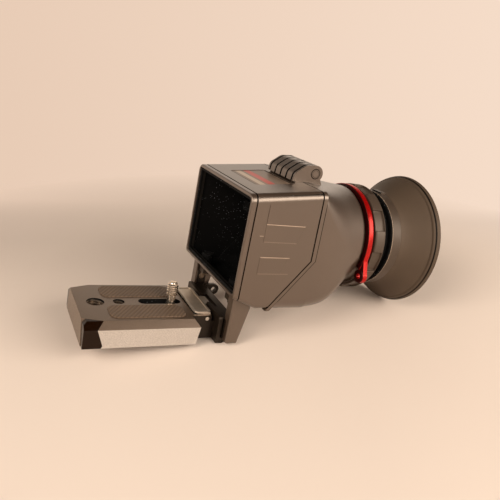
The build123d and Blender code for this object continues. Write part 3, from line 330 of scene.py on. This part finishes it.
def bump_of(tree, shader, height, strength, depth):
    """Height into the shader's normal."""
    node = tree.nodes.new("ShaderNodeBump")
    node.inputs["Strength"].default_value = strength
    node.inputs["Distance"].default_value = depth
    tree.links.new(height, node.inputs["Height"])
    tree.links.new(node.outputs["Normal"], shader.inputs["Normal"])


# Finishes

def surface(name, colour, rough, metal=0.0, vary=0.12, patch=60, grain=2600, bump=0.25,
            depth=0.00004, wear=0.25, stretch=None, coat=0.0, specular=0.5,
            sheen=(1.0, 0.9, 0.8, 1)):
    """General finish: patches of tone, a fine grain, uneven gloss and paler worn edges."""
    material, tree, shader = new_finish(name)
    where = place_of(tree)
    patches = noise(tree, where, patch, 4.0)
    tone = ramp(tree, patches, 0.3, 0.7, shaded(colour, 1 - vary), shaded(colour, 1 + vary))
    if wear:
        sharp = tree.nodes.new("ShaderNodeNewGeometry").outputs["Pointiness"]
        worn = span(tree, sharp, 0.515, 0.60, 0.0, wear)
        tone = mixed(tree, worn, tone, shaded(colour, 2.6))
    tree.links.new(tone, shader.inputs["Base Color"])
    fine = noise(tree, where, grain, 2.0, stretch)
    tree.links.new(span(tree, fine, 0.25, 0.75, rough - 0.06, rough + 0.06),
                   shader.inputs["Roughness"])
    bump_of(tree, shader, fine, bump, depth)
    shader.inputs["Metallic"].default_value = metal
    shader.inputs["Coat Weight"].default_value = coat
    shader.inputs["Coat Roughness"].default_value = rough
    shader.inputs["Coat IOR"].default_value = 1.9
    shader.inputs["Specular IOR Level"].default_value = specular
    shader.inputs["Specular Tint"].default_value = sheen
    return material


def bare_finish():
    """Bare blasted aluminium with bright sparkling grains."""
    material, tree, shader = new_finish("bare_blasted_aluminium")
    where = place_of(tree)
    grains = noise(tree, where, 3000, 4.0)
    tone = ramp(tree, grains, 0.36, 0.64, srgb(158, 151, 144), srgb(210, 203, 195))
    tree.links.new(tone, shader.inputs["Base Color"])
    patches = noise(tree, where, 120, 3.0)
    tree.links.new(span(tree, patches, 0.3, 0.7, 0.36, 0.46), shader.inputs["Roughness"])
    bump_of(tree, shader, grains, 0.4, 0.00003)
    shader.inputs["Metallic"].default_value = 0.5
    return material


def pad_finish():
    """Rubber with fine slanting ribs, with painted shade darkening the grooves between them."""
    material, tree, shader = new_finish("ribbed_pad")
    where = place_of(tree)
    mapping = tree.nodes.new("ShaderNodeMapping")
    mapping.inputs["Rotation"].default_value = (0, 0, radians(-53))
    tree.links.new(where, mapping.inputs["Vector"])
    wave = tree.nodes.new("ShaderNodeTexWave")
    wave.inputs["Scale"].default_value = 165
    wave.inputs["Distortion"].default_value = 0.6
    wave.inputs["Detail"].default_value = 1.0
    tree.links.new(mapping.outputs["Vector"], wave.inputs["Vector"])
    colour = srgb(106, 87, 70)
    patches = noise(tree, where, 90, 4.0)
    tone = ramp(tree, patches, 0.3, 0.7, shaded(colour, 0.85), shaded(colour, 1.12))
    # lines marks the grooves between the ribs, darkened as painted shade
    lines = span(tree, wave.outputs["Fac"], 0.0, 0.5, 0.8, 0.0)
    tree.links.new(mixed(tree, lines, tone, shaded(colour, 0.5)), shader.inputs["Base Color"])
    tree.links.new(span(tree, patches, 0.2, 0.8, 0.55, 0.7), shader.inputs["Roughness"])
    bump_of(tree, shader, wave.outputs["Fac"], 0.8, 0.0002)
    return material


def inner_finish():
    """Dead black, with a scatter of faint dust specks; the black of the inner walls, and painted
    shade in holes, slots, gaps and seams.
    """
    material, tree, shader = new_finish("dusty_black_and_painted_shade")
    where = place_of(tree)
    cells = tree.nodes.new("ShaderNodeTexVoronoi")
    cells.inputs["Scale"].default_value = 700
    tree.links.new(where, cells.inputs["Vector"])
    specks = span(tree, cells.outputs["Distance"], 0.10, 0.16, 1.0, 0.0)
    clumps = span(tree, noise(tree, where, 70, 3.0), 0.42, 0.6, 0.0, 1.0)
    dust = mixed(tree, times(tree, specks, clumps), srgb(17, 17, 17), srgb(130, 134, 138))
    tree.links.new(dust, shader.inputs["Base Color"])
    tree.links.new(span(tree, clumps, 0.0, 1.0, 0.7, 0.85), shader.inputs["Roughness"])
    bump_of(tree, shader, noise(tree, where, 2400, 2.0), 0.2, 0.00003)
    shader.inputs["Specular IOR Level"].default_value = 0.08
    return material


def label_finish():
    """Brownish satin panel with a pale strip, one plain red stripe and a dark margin of painted
    shade from the recess it sits in.
    """
    material, tree, shader = new_finish("striped_label")
    where = place_of(tree)
    parts = tree.nodes.new("ShaderNodeSeparateXYZ")
    tree.links.new(where, parts.inputs["Vector"])
    across, lengthwise = parts.outputs["X"], parts.outputs["Y"]
    patches = noise(tree, where, 160, 4.0)
    tone = ramp(tree, patches, 0.3, 0.7, srgb(104, 88, 75), srgb(124, 106, 91))
    tone = mixed(tree, band(tree, lengthwise, *LABEL_STRIP), tone, srgb(176, 158, 138))
    tone = mixed(tree, band(tree, lengthwise, *LABEL_STRIPE), tone, srgb(172, 62, 52))
    inside = times(tree, band(tree, across, -LABEL_HALF_W, LABEL_HALF_W),
                   band(tree, lengthwise, *LABEL))
    # Outside the label the margin is dark as painted shade of its recess
    tree.links.new(mixed(tree, inside, srgb(24, 19, 16), tone), shader.inputs["Base Color"])
    tree.links.new(span(tree, patches, 0.2, 0.8, 0.34, 0.46), shader.inputs["Roughness"])
    tree.links.new(span(tree, inside, 0.0, 1.0, 0.05, 0.5), shader.inputs["Specular IOR Level"])
    bump_of(tree, shader, noise(tree, where, 2200, 2.0), 0.1, 0.00002)
    return material


def glass_finish():
    """Coated optical glass, nearly clear, with a faint film of dust."""
    material, tree, shader = new_finish("coated_glass")
    patches = noise(tree, place_of(tree), 120, 4.0)
    tree.links.new(span(tree, patches, 0.3, 0.8, 0.02, 0.09), shader.inputs["Roughness"])
    tone = ramp(tree, patches, 0.3, 0.7, (0.86, 0.90, 0.92, 1), (0.93, 0.95, 0.96, 1))
    tree.links.new(tone, shader.inputs["Base Color"])
    bump_of(tree, shader, patches, 0.02, 0.00001)
    shader.inputs["Transmission Weight"].default_value = 1.0
    shader.inputs["IOR"].default_value = 1.5
    return material


FINISHES = {
    "body_plastic": surface("satin_black_moulding", srgb(51, 39, 30), 0.36, patch=45, grain=3200,
                            depth=0.00003, wear=0.0, vary=0.08, specular=1.0, coat=0.6,
                            sheen=(1.0, 0.76, 0.56, 1)),
    "cup_rubber": surface("eyecup_rubber", srgb(74, 62, 51), 0.6, patch=30, grain=2400,
                          bump=0.35, depth=0.00005, wear=0.0, vary=0.1, specular=0.3),
    "ring_plastic": surface("satin_black_ring", srgb(62, 51, 42), 0.46, patch=45, grain=3200,
                            depth=0.00003, wear=0.0, vary=0.1),
    "plate_alu": surface("blasted_plate", srgb(84, 68, 54), 0.31, metal=0.5, specular=1.0,
                         coat=0.3, patch=80, grain=5200, bump=0.3, depth=0.00003, wear=0.3,
                         vary=0.08),
    "bare_alu": bare_finish(),
    "stop_black": surface("glossy_stop", srgb(18, 5, 0), 0.16, vary=0.3, patch=90, grain=900,
                          bump=0.06, wear=0.05, specular=0.25),
    "pad_rubber": pad_finish(),
    "nickel_steel": surface("brushed_nickel", srgb(196, 184, 168), 0.36, metal=0.75, vary=0.1,
                            patch=120, grain=1500, bump=0.15, depth=0.00002,
                            stretch=(0.06, 1.0, 1.0)),
    "screw_steel": surface("turned_steel", srgb(216, 204, 188), 0.24, metal=0.95, patch=300,
                           bump=0.12, depth=0.00002),
    "black_steel": surface("black_steel", srgb(110, 98, 86), 0.28, metal=0.85, patch=200),
    "black_alu": surface("black_anodising_and_painted_shade", srgb(26, 20, 15), 0.34, metal=0.35, patch=90,
                         grain=4200, bump=0.2, depth=0.00002, wear=0.4),
    "inner_black": inner_finish(),
    "seal_rubber": surface("seal_rubber", srgb(14, 13, 13), 0.6, patch=120),
    "label_pale": label_finish(),
    "red_alu": surface("red_anodised", srgb(166, 4, 4), 0.28, metal=0.4, vary=0.1, patch=70,
                       grain=4200, bump=0.1, depth=0.00002, wear=0.0, coat=0.1,
                       sheen=(1.0, 0.4, 0.3, 1)),
    "red_shade": surface("red_anodised_in_shade", srgb(40, 2, 2), 0.4, patch=70, wear=0.0,
                         specular=0.15),
    "magnet": surface("nickel_magnet", srgb(190, 188, 184), 0.22, metal=1.0, patch=200),
    "spring_steel": surface("spring_steel", srgb(150, 148, 144), 0.3, metal=1.0, patch=200),
    "glass": glass_finish(),
    "washer_bronze": surface("bronze_washer", srgb(140, 104, 62), 0.4, metal=0.9, patch=200),
}


# Painted shade lines and painted highlights in a finish

def marked(name, source, mark, colour, gloss=None):
    """A copy of a finish with another tone, and maybe another gloss, where the mark is."""
    material = FINISHES[source].copy()
    material.name = name
    tree = material.node_tree
    shader = tree.nodes["Principled BSDF"]
    base = shader.inputs["Base Color"].links[0].from_socket
    amount = mark(tree, place_of(tree))
    tree.links.new(mixed(tree, amount, base, colour), shader.inputs["Base Color"])
    if gloss is None:
        return material
    for socket in ("Specular IOR Level", "Coat Weight"):
        plain = shader.inputs[socket].default_value
        tree.links.new(span(tree, amount, 0.0, 1.0, plain, gloss), shader.inputs[socket])
    return material


def band_highlights(tree, where):
    """Painted highlights along the edges of the raised bands on the cheeks of the window box."""
    lengthwise, height = along(tree, where, (0, 1, 0)), along(tree, where, (0, 0, 1))
    total = None
    for z, y0, y1, strength in PAINTED_BAND_HIGHLIGHTS:
        line = times(tree, band(tree, height, z - HIGHLIGHT_HALF_WIDTH, z + HIGHLIGHT_HALF_WIDTH),
                     band(tree, lengthwise, y0, y1))
        line = span(tree, line, 0.0, 1.0, 0.0, strength)
        total = larger(tree, total, line) if total else line
    return total


def behind_seam(tree, where, knee):
    """Distance behind the seam's bent line through a knee given as (y, z)."""
    offset = with_vector(tree, "SUBTRACT", where, (0, knee[0] * MM, knee[1] * MM))["Vector"]
    return larger(tree, along(tree, offset, BEHIND_UPPER_RUN),
                  along(tree, offset, BEHIND_LOWER_RUN))


def shell_shade_lines(tree, where):
    """Painted shade in the seam and the painted shadow line behind the raised rim that follows it.
    """
    # rim is the painted shadow behind the rim, seam the painted shade in the seam
    rim = band(tree, behind_seam(tree, where, RIM_KNEE), 0.0, 0.6)
    above = span(tree, along(tree, where, (0, 0, 1)), (FOOT_Z + 0.3) * MM, (FOOT_Z + 0.5) * MM,
                 0.0, 1.0)
    seam = band(tree, behind_seam(tree, where, SHELL_SEAM_KNEE), -1.2, 0.06)
    return larger(tree, rim, times(tree, seam, above))


def box_shadows(tree, where):
    """Painted shade lines at the window box's two ends, along the seam and behind the bezel."""
    seam = band(tree, behind_seam(tree, where, SEAM_KNEE), -0.25, 0.6)
    return larger(tree, seam, band(tree, along(tree, where, (0, 1, 0)), *BEZEL_SHADE_LINE))


def cap_ring(tree, where):
    """Painted shade in a ring round the edge of each pin cap, and a fine dark ring inside it."""
    radius = from_axis(tree, where, (0, 1, 1), PIN)
    fine = span(tree, band(tree, radius, *CAP_FINE_RING), 0.0, 1.0, 0.0, 0.5)
    return larger(tree, fine, band(tree, radius, PIN_R - 0.4, PIN_R + 1))


def cup_rim_shade(tree, where):
    """Painted shade in the groove that sets off the bead round the eyecup's rim."""
    radius = from_axis(tree, where, (1, 0, 1), (0, 0, AXIS_Z))
    return times(tree, band(tree, along(tree, where, (0, 1, 0)), *RIM_SHADE_BAND),
                 band(tree, radius, *RIM_SHADE_RADII))


def cup_ring_highlight(tree, where):
    """Painted highlight along the front edge of the ring that carries the eyecup."""
    return band(tree, along(tree, where, (0, 1, 0)), *CUP_RING_HIGHLIGHT)


FINISHES["cup_rim_rubber"] = marked("groove_shaded_eyecup_rubber", "cup_rubber", cup_rim_shade,
                                    srgb(10, 7, 5), 0.05)
FINISHES["cup_ring_with_highlight"] = marked("highlighted_cup_ring", "ring_plastic", cup_ring_highlight,
                                      srgb(190, 168, 146))
FINISHES["cap_plastic"] = marked("edge_shaded_cap_moulding", "body_plastic", cap_ring,
                                 PAINTED_SHADE_BLACK, 0.05)
# Box cheeks with painted highlights along their raised bands
FINISHES["highlighted_box_plastic"] = marked("highlighted_box_moulding", "body_plastic", band_highlights,
                                   srgb(136, 118, 102))
FINISHES["box_plastic"] = marked("seam_shaded_box_moulding", "highlighted_box_plastic", box_shadows,
                                 PAINTED_SHADE_BLACK, 0.05)
FINISHES["shell_plastic"] = marked("rim_shaded_shell_moulding", "body_plastic", shell_shade_lines,
                                   PAINTED_SHADE_BLACK, 0.05)


# Steps that the pieces are made with

def only(piece):
    """Select one object and make it active."""
    bpy.ops.object.select_all(action="DESELECT")
    piece.select_set(True)
    bpy.context.view_layer.objects.active = piece


def paint(piece, finish):
    """Give the piece one material."""
    piece.data.materials.clear()
    piece.data.materials.append(FINISHES[finish])


def settle(piece, name, body, slot_name, replaced=()):
    """Name, paint and place a finished piece on its body."""
    only(piece)
    bpy.ops.object.transform_apply(location=True, rotation=True, scale=True)
    piece.name = name
    piece.data.name = name
    paint(piece, slot_name)
    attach(piece, body)
    if replaced:
        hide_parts(*replaced)
    return piece


def apply_all(piece):
    """Apply the piece's modifiers in order."""
    only(piece)
    for modifier in list(piece.modifiers):
        bpy.ops.object.modifier_apply(modifier=modifier.name)


def cut_away(piece, cutter):
    """Take the cutter's shape out of the piece and remove the cutter."""
    cut = piece.modifiers.new("cut", "BOOLEAN")
    cut.object = cutter
    cut.operation = "DIFFERENCE"
    apply_all(piece)
    bpy.data.objects.remove(cutter)


def closed_up(piece, smooth_angle):
    """Merge doubled points, turn the faces outwards and smooth the gentle edges."""
    only(piece)
    bpy.ops.object.mode_set(mode="EDIT")
    bpy.ops.mesh.select_all(action="SELECT")
    bpy.ops.mesh.remove_doubles(threshold=0.000001)
    bpy.ops.mesh.normals_make_consistent(inside=False)
    bpy.ops.object.mode_set(mode="OBJECT")
    only(piece)
    bpy.ops.object.shade_smooth_by_angle(angle=radians(smooth_angle))


# Forms of the CAD nodes

def rounded_knees(piece):
    """Rounder corners where the ribs of the hinge cover turn."""
    points = piece.data.vertices
    same, near = 0.01, 0.2
    only(piece)
    bpy.ops.object.mode_set(mode="EDIT")
    bpy.ops.mesh.select_mode(type="EDGE")
    bpy.ops.mesh.select_all(action="DESELECT")
    bpy.ops.object.mode_set(mode="OBJECT")
    for edge in piece.data.edges:
        a, b = (points[i].co / MM for i in edge.vertices)
        level = abs(a.y - b.y) < same and abs(a.z - b.z) < same and abs(a.x - b.x) > 1.0
        edge.select = level and any(abs(a.y - y) < near and abs(a.z - z) < near
                                    for y, z in RIB_KNEES)
    bpy.ops.object.mode_set(mode="EDIT")
    bpy.ops.mesh.bevel(offset=RIB_KNEE_R * MM, segments=5, affect="EDGES", clamp_overlap=True)
    bpy.ops.object.mode_set(mode="OBJECT")


def fallen_stop(piece):
    """The far stop's top falls away outwards from the plate's corner."""
    lean = radians(FALL_ANGLE)
    up = Vector((FALL_WAY[0] * sin(lean), FALL_WAY[1] * sin(lean), cos(lean)))
    middle = Vector(FALL_EDGE) + up * FALL_BLOCK / 2
    bpy.ops.mesh.primitive_cube_add(size=FALL_BLOCK * MM, location=middle * MM,
                                    rotation=up.to_track_quat("Z", "Y").to_euler())
    cut_away(piece, bpy.context.object)


SHAPED = {"hinge_cover": rounded_knees, "rail_stops": fallen_stop}
LOOK_OF = {"diopter_ring": "ring_plastic", "cup_ring": "cup_ring_with_highlight",
           "eyecup": "cup_rim_rubber", "u_frame": "black_alu", "pin_caps": "cap_plastic",
           "front_housing": "box_plastic", "rear_housing": "shell_plastic"}


def softened(node, width):
    """The node's form, merged and given small rounded edges."""
    source = NODES[node]
    piece = source.copy()
    piece.data = source.data.copy()
    piece.parent = None
    for key in list(piece.keys()):
        del piece[key]
    bpy.context.scene.collection.objects.link(piece)
    only(piece)
    bpy.ops.object.mode_set(mode="EDIT")
    bpy.ops.mesh.select_all(action="SELECT")
    bpy.ops.mesh.remove_doubles(threshold=0.000002)
    bpy.ops.mesh.dissolve_limited(angle_limit=radians(0.3))
    bpy.ops.object.mode_set(mode="OBJECT")
    if node in SHAPED:
        SHAPED[node](piece)
    if width:
        edge = piece.modifiers.new("edge", "BEVEL")
        edge.width = width * MM
        edge.segments = EDGE_STEPS
        edge.limit_method = "ANGLE"
        edge.angle_limit = radians(EDGE_ANGLE)
        edge.use_clamp_overlap = True
        apply_all(piece)
    only(piece)
    bpy.ops.object.shade_smooth_by_angle(angle=radians(SMOOTH_ANGLE))
    flat = piece.modifiers.new("flat_faces", "WEIGHTED_NORMAL")
    flat.keep_sharp = True
    flat.weight = 60
    apply_all(piece)
    settle(piece, node + "_form", BODY_OF[node], SLOT_OF[node], [node])
    if node in LOOK_OF:
        paint(piece, LOOK_OF[node])
    return piece


# Faces with another finish, told by their middle in millimetres and their normal

def tint(piece, finish, test):
    """Another finish on the faces that pass a test."""
    piece.data.materials.append(FINISHES[finish])
    index = len(piece.data.materials) - 1
    for face in piece.data.polygons:
        if test(face.center / MM, face.normal):
            face.material_index = index


def plate_sides(p, n):
    """The plate's long upright sides."""
    return abs(n.x) > 0.9 and abs(p.x) > PLATE_HALF_W - 0.1


def plate_tongue(p, n):
    """The plate's tongue and the back of its rail, painted black as shade."""
    on_tongue = p.y > RAIL_BACK + 0.4 and abs(p.x) < TONGUE_HALF_W + 0.2
    return on_tongue or n.y > 0.5 and p.y > RAIL_BACK - 1.0


def plate_holes(p, n):
    """Walls of the plate's sockets, slot and track, painted black as shade."""
    return abs(n.z) < 0.5 and abs(p.x) < TRACK_HALF_W and TRACK_FRONT < p.y < RAIL_BACK


def box_hollow(p, n):
    """The window box's inner walls, which are black, and its faces along the seam, painted black
    as shade.
    """
    depth = p.y - WINDOW_Y
    low = BOX_FLOOR - (BOX_FLOOR - FOOT_Z) * min(max(depth, 0) / FOOT_RUN, 1)
    high = BOX_TOP + BOX_RISE * depth
    within = (abs(p.x) < BOX_HALF_W - MID_WALL and low + MID_WALL < p.z < high - MID_WALL
              and depth > 0.1)
    return within or n.y > 0.25 and depth > SEAM_FACES_DEPTH


def bezel_black(p, n):
    """The bezel's inner edges and the floor of its step."""
    beside = abs(p.x) < BOX_HALF_W - BEZEL_LIP + 0.1
    between = BOX_FLOOR + BEZEL_LIP - 0.1 < p.z < BOX_TOP - BEZEL_LIP + 0.1
    inner_edge = abs(n.y) < 0.6 and beside and between
    return inner_edge or n.y < -0.9 and p.y > WINDOW_Y + 0.5


def shell_hollow(p, n):
    """The rear housing's inner walls."""
    depth = p.y - WINDOW_Y
    inward = n.dot(Vector((p.x, 0, p.z - AXIS_Z))) < 0 and depth < NECK_END_Y
    radius = (p.x ** 2 + (p.z - AXIS_Z) ** 2) ** 0.5
    return inward and (depth > SHELL_TAPER_DEPTH or radius < SHELL_MOUTH_R)


def rib_hollow(p, n):
    """Walls and floors of the slots between the ribs of the hinge cover, painted black as shade.
    """
    off = abs((p.x + RIB_PITCH / 2) % RIB_PITCH - RIB_PITCH / 2)
    wall = abs(n.x) > 0.9 and abs(p.x) < 2.2 * RIB_PITCH
    return wall or off < 0.5 and abs(p.x) < 2.2 * RIB_PITCH and abs(n.x) < 0.1


def strap_ring_front(p, n):
    """The strap ring's faces towards the window, in its own shade."""
    return n.y < -0.7


def label_sides(p, n):
    """The label panel's sides and back, painted black as shade in its recess."""
    return n.z < 0.5


def cup_ring_front(p, n):
    """The faces of the eyecup's ring towards the window, painted black as shade in the gap before
    it.
    """
    return n.y < -0.3


def barrel_skirt(p, n):
    """The barrel up to the ring that carries the eyecup, painted black as shade in the gap before
    the ring.
    """
    return p.y < WINDOW_Y + BARREL_BACK_Y - 0.1


# Faces given another finish; the black here is the inner walls' own black and painted shade in
# holes, slots, seams, gaps and the label's recess
TINTS = (
    ("base_plate", "bare_alu", plate_sides), ("base_plate", "black_alu", plate_tongue),
    ("base_plate", "inner_black", plate_holes), ("front_housing", "inner_black", box_hollow),
    ("front_bezel", "inner_black", bezel_black), ("rear_housing", "inner_black", shell_hollow),
    ("strap_ring", "red_shade", strap_ring_front), ("label_panel", "inner_black", label_sides),
    ("hinge_cover", "inner_black", rib_hollow), ("cup_ring", "inner_black", cup_ring_front),
    ("eyepiece_barrel", "inner_black", barrel_skirt),
)


# Camera screw and threads

def thread(name, body, slot_name, y, z0, z1, r_root, r_crest, pitch):
    """A helical thread ridge, spun from a small tooth."""
    turns = int((z1 - z0) / pitch) - 1
    bpy.ops.mesh.primitive_plane_add(size=1, location=(0, 0, 0))
    ridge = bpy.context.object
    tooth = [(r_root, -FOOT_SHARE), (r_crest, -CREST_SHARE), (r_crest, CREST_SHARE),
             (r_root, FOOT_SHARE)]
    for vertex, (r, h) in zip((0, 1, 3, 2), tooth):
        ridge.data.vertices[vertex].co = (r * MM, 0, h * pitch * MM)
    winding = ridge.modifiers.new("winding", "SCREW")
    winding.axis = "Z"
    winding.screw_offset = pitch * MM
    winding.iterations = turns
    winding.steps = 40
    winding.render_steps = 40
    winding.use_smooth_shade = True
    apply_all(ridge)
    closed_up(ridge, 40)
    ridge.location = (0, y * MM, (z0 + START_SHARE * pitch) * MM)
    return settle(ridge, name, body, slot_name)


def turned_piece(points, y, steps=96):
    """A closed profile of (radius, z) in millimetres spun round an upright axis at X = 0."""
    bpy.ops.mesh.primitive_circle_add(vertices=len(points), radius=1, fill_type="NGON")
    piece = bpy.context.object
    for vertex, (r, z) in zip(piece.data.vertices, points):
        vertex.co = (r * MM, 0, z * MM)
    only(piece)
    bpy.ops.object.mode_set(mode="EDIT")
    bpy.ops.mesh.select_all(action="SELECT")
    bpy.ops.mesh.delete(type="ONLY_FACE")
    bpy.ops.mesh.select_all(action="SELECT")
    bpy.ops.mesh.spin(steps=steps, angle=2 * pi, center=(0, 0, 0), axis=(0, 0, 1))
    bpy.ops.object.mode_set(mode="OBJECT")
    closed_up(piece, 30)
    piece.location = (0, y * MM, 0)
    return piece


def camera_screw():
    """Screw with a waisted shank, thread relief and a coin slot in its head."""
    on_axis = 0.0001
    head_low, head_high, head_r = SCREW_HEAD_LOW, SCREW_HEAD_HIGH, SCREW_HEAD_R
    root = THREAD_R - THREAD_DEPTH
    low = SCREW_TOP - THREAD_LEN
    profile = [(on_axis, head_low), (head_r - HEAD_CHAMFER, head_low),
               (head_r, head_low + HEAD_CHAMFER), (head_r, head_high - HEAD_EDGE),
               (head_r - HEAD_EDGE, head_high), (SCREW_SHANK_R, head_high),
               (SCREW_SHANK_R, low - COLLAR), (THREAD_R - 0.1, low - COLLAR),
               (THREAD_R - 0.1, low + COLLAR / 2),
               (root, low + 0.5), (root, SCREW_TOP - 0.8), (root - 0.3, SCREW_TOP - 0.1),
               (root - 0.8, SCREW_TOP), (on_axis, SCREW_TOP)]
    core = turned_piece(profile, SCREW_Y)
    bpy.ops.mesh.primitive_cube_add(size=1, location=(0, SCREW_Y * MM, SCREW_HEAD_LOW * MM))
    cutter = bpy.context.object
    cutter.scale = [side * MM for side in COIN_SLOT]
    cut_away(core, cutter)
    settle(core, "camera_screw_core", "screw", "screw_steel", ["camera_screw"])
    thread("camera_screw_thread", "screw", "screw_steel", SCREW_Y, low + 0.1, SCREW_TOP,
           root - 0.1, THREAD_R, THREAD_PITCH)


def socket_threads():
    """Threads inside the plate's two tripod sockets."""
    for k, (y, r, pitch) in enumerate(SOCKETS):
        thread("socket_thread_%d" % k, "base", "black_steel", y, SOCKET_THREAD_LOW,
               SOCKET_THREAD_HIGH, r + 0.05, r - 0.55, pitch)


# Floor, wall and light

def wall_tone(tree, direction, sideways):
    """The wall's colour, with painted light making it a little brighter to one side."""
    aside = span(tree, along(tree, direction, sideways), -0.4, 0.4, 0.0, 1.0)
    return mixed(tree, aside, srgb(232, 204, 182), srgb(245, 220, 200))


def rays_of(tree, first, second):
    """One for rays of either kind."""
    paths = tree.nodes.new("ShaderNodeLightPath")
    return larger(tree, paths.outputs[first], paths.outputs[second])


def blended(tree, amount, first, last):
    """Mix of two shaders."""
    node = tree.nodes.new("ShaderNodeMixShader")
    tree.links.new(amount, node.inputs[0])
    tree.links.new(first, node.inputs[1])
    tree.links.new(last, node.inputs[2])
    return node.outputs["Shader"]


def ground():
    """Pale floor that fades into the wall's tone far from the object, with a painted shadow on the
    left, a painted pool of light to the right and painted shade where it turns into the wall.
    """
    bpy.ops.mesh.primitive_circle_add(vertices=96, radius=FLOOR_R, fill_type="NGON")
    floor = bpy.context.object
    floor.rotation_euler = (atan2(FLOOR_SLOPE, 1.0), 0, 0)
    floor.location = (0, FLOOR_MIDDLE_Y, (FLOOR_MIDDLE_Y - FLOOR_Y) * FLOOR_SLOPE)
    floor.name = "floor"
    to_floor = Matrix.Rotation(-atan2(FLOOR_SLOPE, 1.0), 3, "X")
    material, tree, shader = new_finish("pale_floor")
    where = place_of(tree)
    aside = along(tree, where, FLOOR_SIDEWAYS)
    away = along(tree, where, FLOOR_AWAY)
    distance = length_of(tree, where)
    close = span(tree, distance, *PAINTED_SHADE_END, 1.0, 0.0)
    # left is the painted shadow of the object on the floor to the left
    left = times(tree, times(tree, span(tree, aside, -0.20, -0.05, 1.0, 0.0), close),
                 times(tree, span(tree, away, 0.13, 0.25, 1.0, 0.0),
                       span(tree, away, 0.0, 0.12, 0.0, 1.0)))
    # right is a painted pool of light on the floor to the right
    right = span(tree, aside, 0.02, 0.16, 0.0, 1.0)
    near = srgb(230, 217, 206)
    tone = ramp(tree, noise(tree, where, 2.2, 3.0), 0.3, 0.7, shaded(near, 0.97),
                shaded(near, 1.03))
    tone = dimmed(tree, dimmed(tree, tone, left, 0.9), right, 1.12)
    tree.links.new(tone, shader.inputs["Base Color"])
    shader.inputs["Roughness"].default_value = 0.85
    shader.inputs["Specular IOR Level"].default_value = 0.1
    eye_on_floor = to_floor @ (Vector(EYE) - floor.location)
    sight = with_vector(tree, "SUBTRACT", where, eye_on_floor)["Vector"]
    sight = with_vector(tree, "NORMALIZE", sight)["Vector"]
    wall = wall_tone(tree, sight, to_floor @ Vector(SIDEWAYS))
    # bend is painted shade where the floor turns into the wall, and left carries the painted
    # shadow onto it
    bend = times(tree, span(tree, away, 0.185, 0.24, 1.0, 0.0), close)
    wall = dimmed(tree, dimmed(tree, wall, bend, 0.88), left, 0.76)
    far = tree.nodes.new("ShaderNodeEmission")
    tree.links.new(wall, far.inputs["Color"])
    fade = span(tree, distance, *FLOOR_TO_WALL, 0.0, 1.0)
    seen = rays_of(tree, "Is Camera Ray", "Is Glossy Ray")
    whole = blended(tree, times(tree, fade, seen), shader.outputs["BSDF"],
                    far.outputs["Emission"])
    tree.links.new(whole, tree.nodes["Material Output"].inputs["Surface"])
    floor.data.materials.append(material)


def sky():
    """Wall colour where it is seen, else a room bright low down, dim above, with a dark corner."""
    bpy.context.scene.view_settings.view_transform = "Standard"
    world = bpy.data.worlds.new("room")
    bpy.context.scene.world = world
    world.use_nodes = True
    tree = world.node_tree
    tree.nodes.clear()
    out = tree.nodes.new("ShaderNodeOutputWorld")
    direction = tree.nodes.new("ShaderNodeTexCoord").outputs["Generated"]
    wall = tree.nodes.new("ShaderNodeBackground")
    tree.links.new(wall_tone(tree, direction, SIDEWAYS), wall.inputs["Color"])
    room = tree.nodes.new("ShaderNodeBackground")
    height = along(tree, direction, (0, 0, 1))
    tone = ramp(tree, height, 0.30, 0.52, (1.0, 0.82, 0.67, 1), (0.06, 0.05, 0.04, 1))
    towards = along(tree, direction, DARK_CORNER)
    corner = times(tree, span(tree, towards, 0.88, 0.96, 0.0, 1.0),
                   span(tree, height, 0.0, 0.10, 0.0, 1.0))
    tree.links.new(dimmed(tree, tone, corner, 0.1), room.inputs["Color"])
    room.inputs["Strength"].default_value = 0.9
    seen = rays_of(tree, "Is Camera Ray", "Is Transmission Ray")
    whole = blended(tree, seen, room.outputs["Background"], wall.outputs["Background"])
    tree.links.new(whole, out.inputs["Surface"])


def lamp(name, place, aim, width, height, power):
    """Soft warm rectangular light aimed at a point."""
    data = bpy.data.lights.new(name, "AREA")
    data.shape = "RECTANGLE"
    data.size = width
    data.size_y = height
    data.energy = power
    data.color = (1, 0.87, 0.75)
    light = bpy.data.objects.new(name, data)
    bpy.context.scene.collection.objects.link(light)
    direction = Vector(aim) - Vector(place)
    turn = direction.to_track_quat("-Z", "Y").to_matrix().to_4x4()
    light.matrix_world = Matrix.Translation(place) @ turn


def lighting():
    """Soft key from the eyecup's side, a weak light from the window's side and one behind."""
    middle = (0, 0.10, 0.05)
    lamp("key_light", (0.80, 0.50, 0.56), middle, 1.0, 0.5, 12.5)
    lamp("left_light", (0.35, -0.75, 0.50), middle, 0.60, 0.60, 7.5)
    lamp("back_light", (-0.80, 0.56, 0.36), middle, 0.9, 0.5, 0.45)


# Assembly: nodes that get a merged form, and how wide its edges are rounded in millimetres
EDGES = {
    "base_plate": 0.22, "rail_stops": 0.12, "pad_near": 0.0, "pad_far": 0.0,
    "latch_lever": 0.18, "bracket_plate": 0.25, "bracket_screws": 0.12, "u_frame": 0.25,
    "leg_near": 0.3, "leg_far": 0.3, "leg_screws": 0.12, "frame_bolts": 0.12,
    "front_bezel": 0.2, "window_gasket": 0.12, "front_housing": 0.3, "label_panel": 0.08,
    "hinge_cover": 0.2, "pin_caps": 0.0, "rear_housing": 0.2, "strap_ring": 0.15,
    "diopter_ring": 0.25, "eyepiece_barrel": 0.2, "cup_ring": 0.25, "eyecup": 0.0,
    "field_mask": 0.1, "latch_pin": 0.0, "latch_springs": 0.0,
}

set_camera()
forms = {node_name: softened(node_name, width) for node_name, width in EDGES.items()}
for node_name, finish, test in TINTS:
    tint(forms[node_name], finish, test)
camera_screw()
socket_threads()
for node_name, node in NODES.items():
    paint(node, SLOT_OF[node_name])
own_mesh(forms["latch_springs"])
sky()
ground()
lighting()
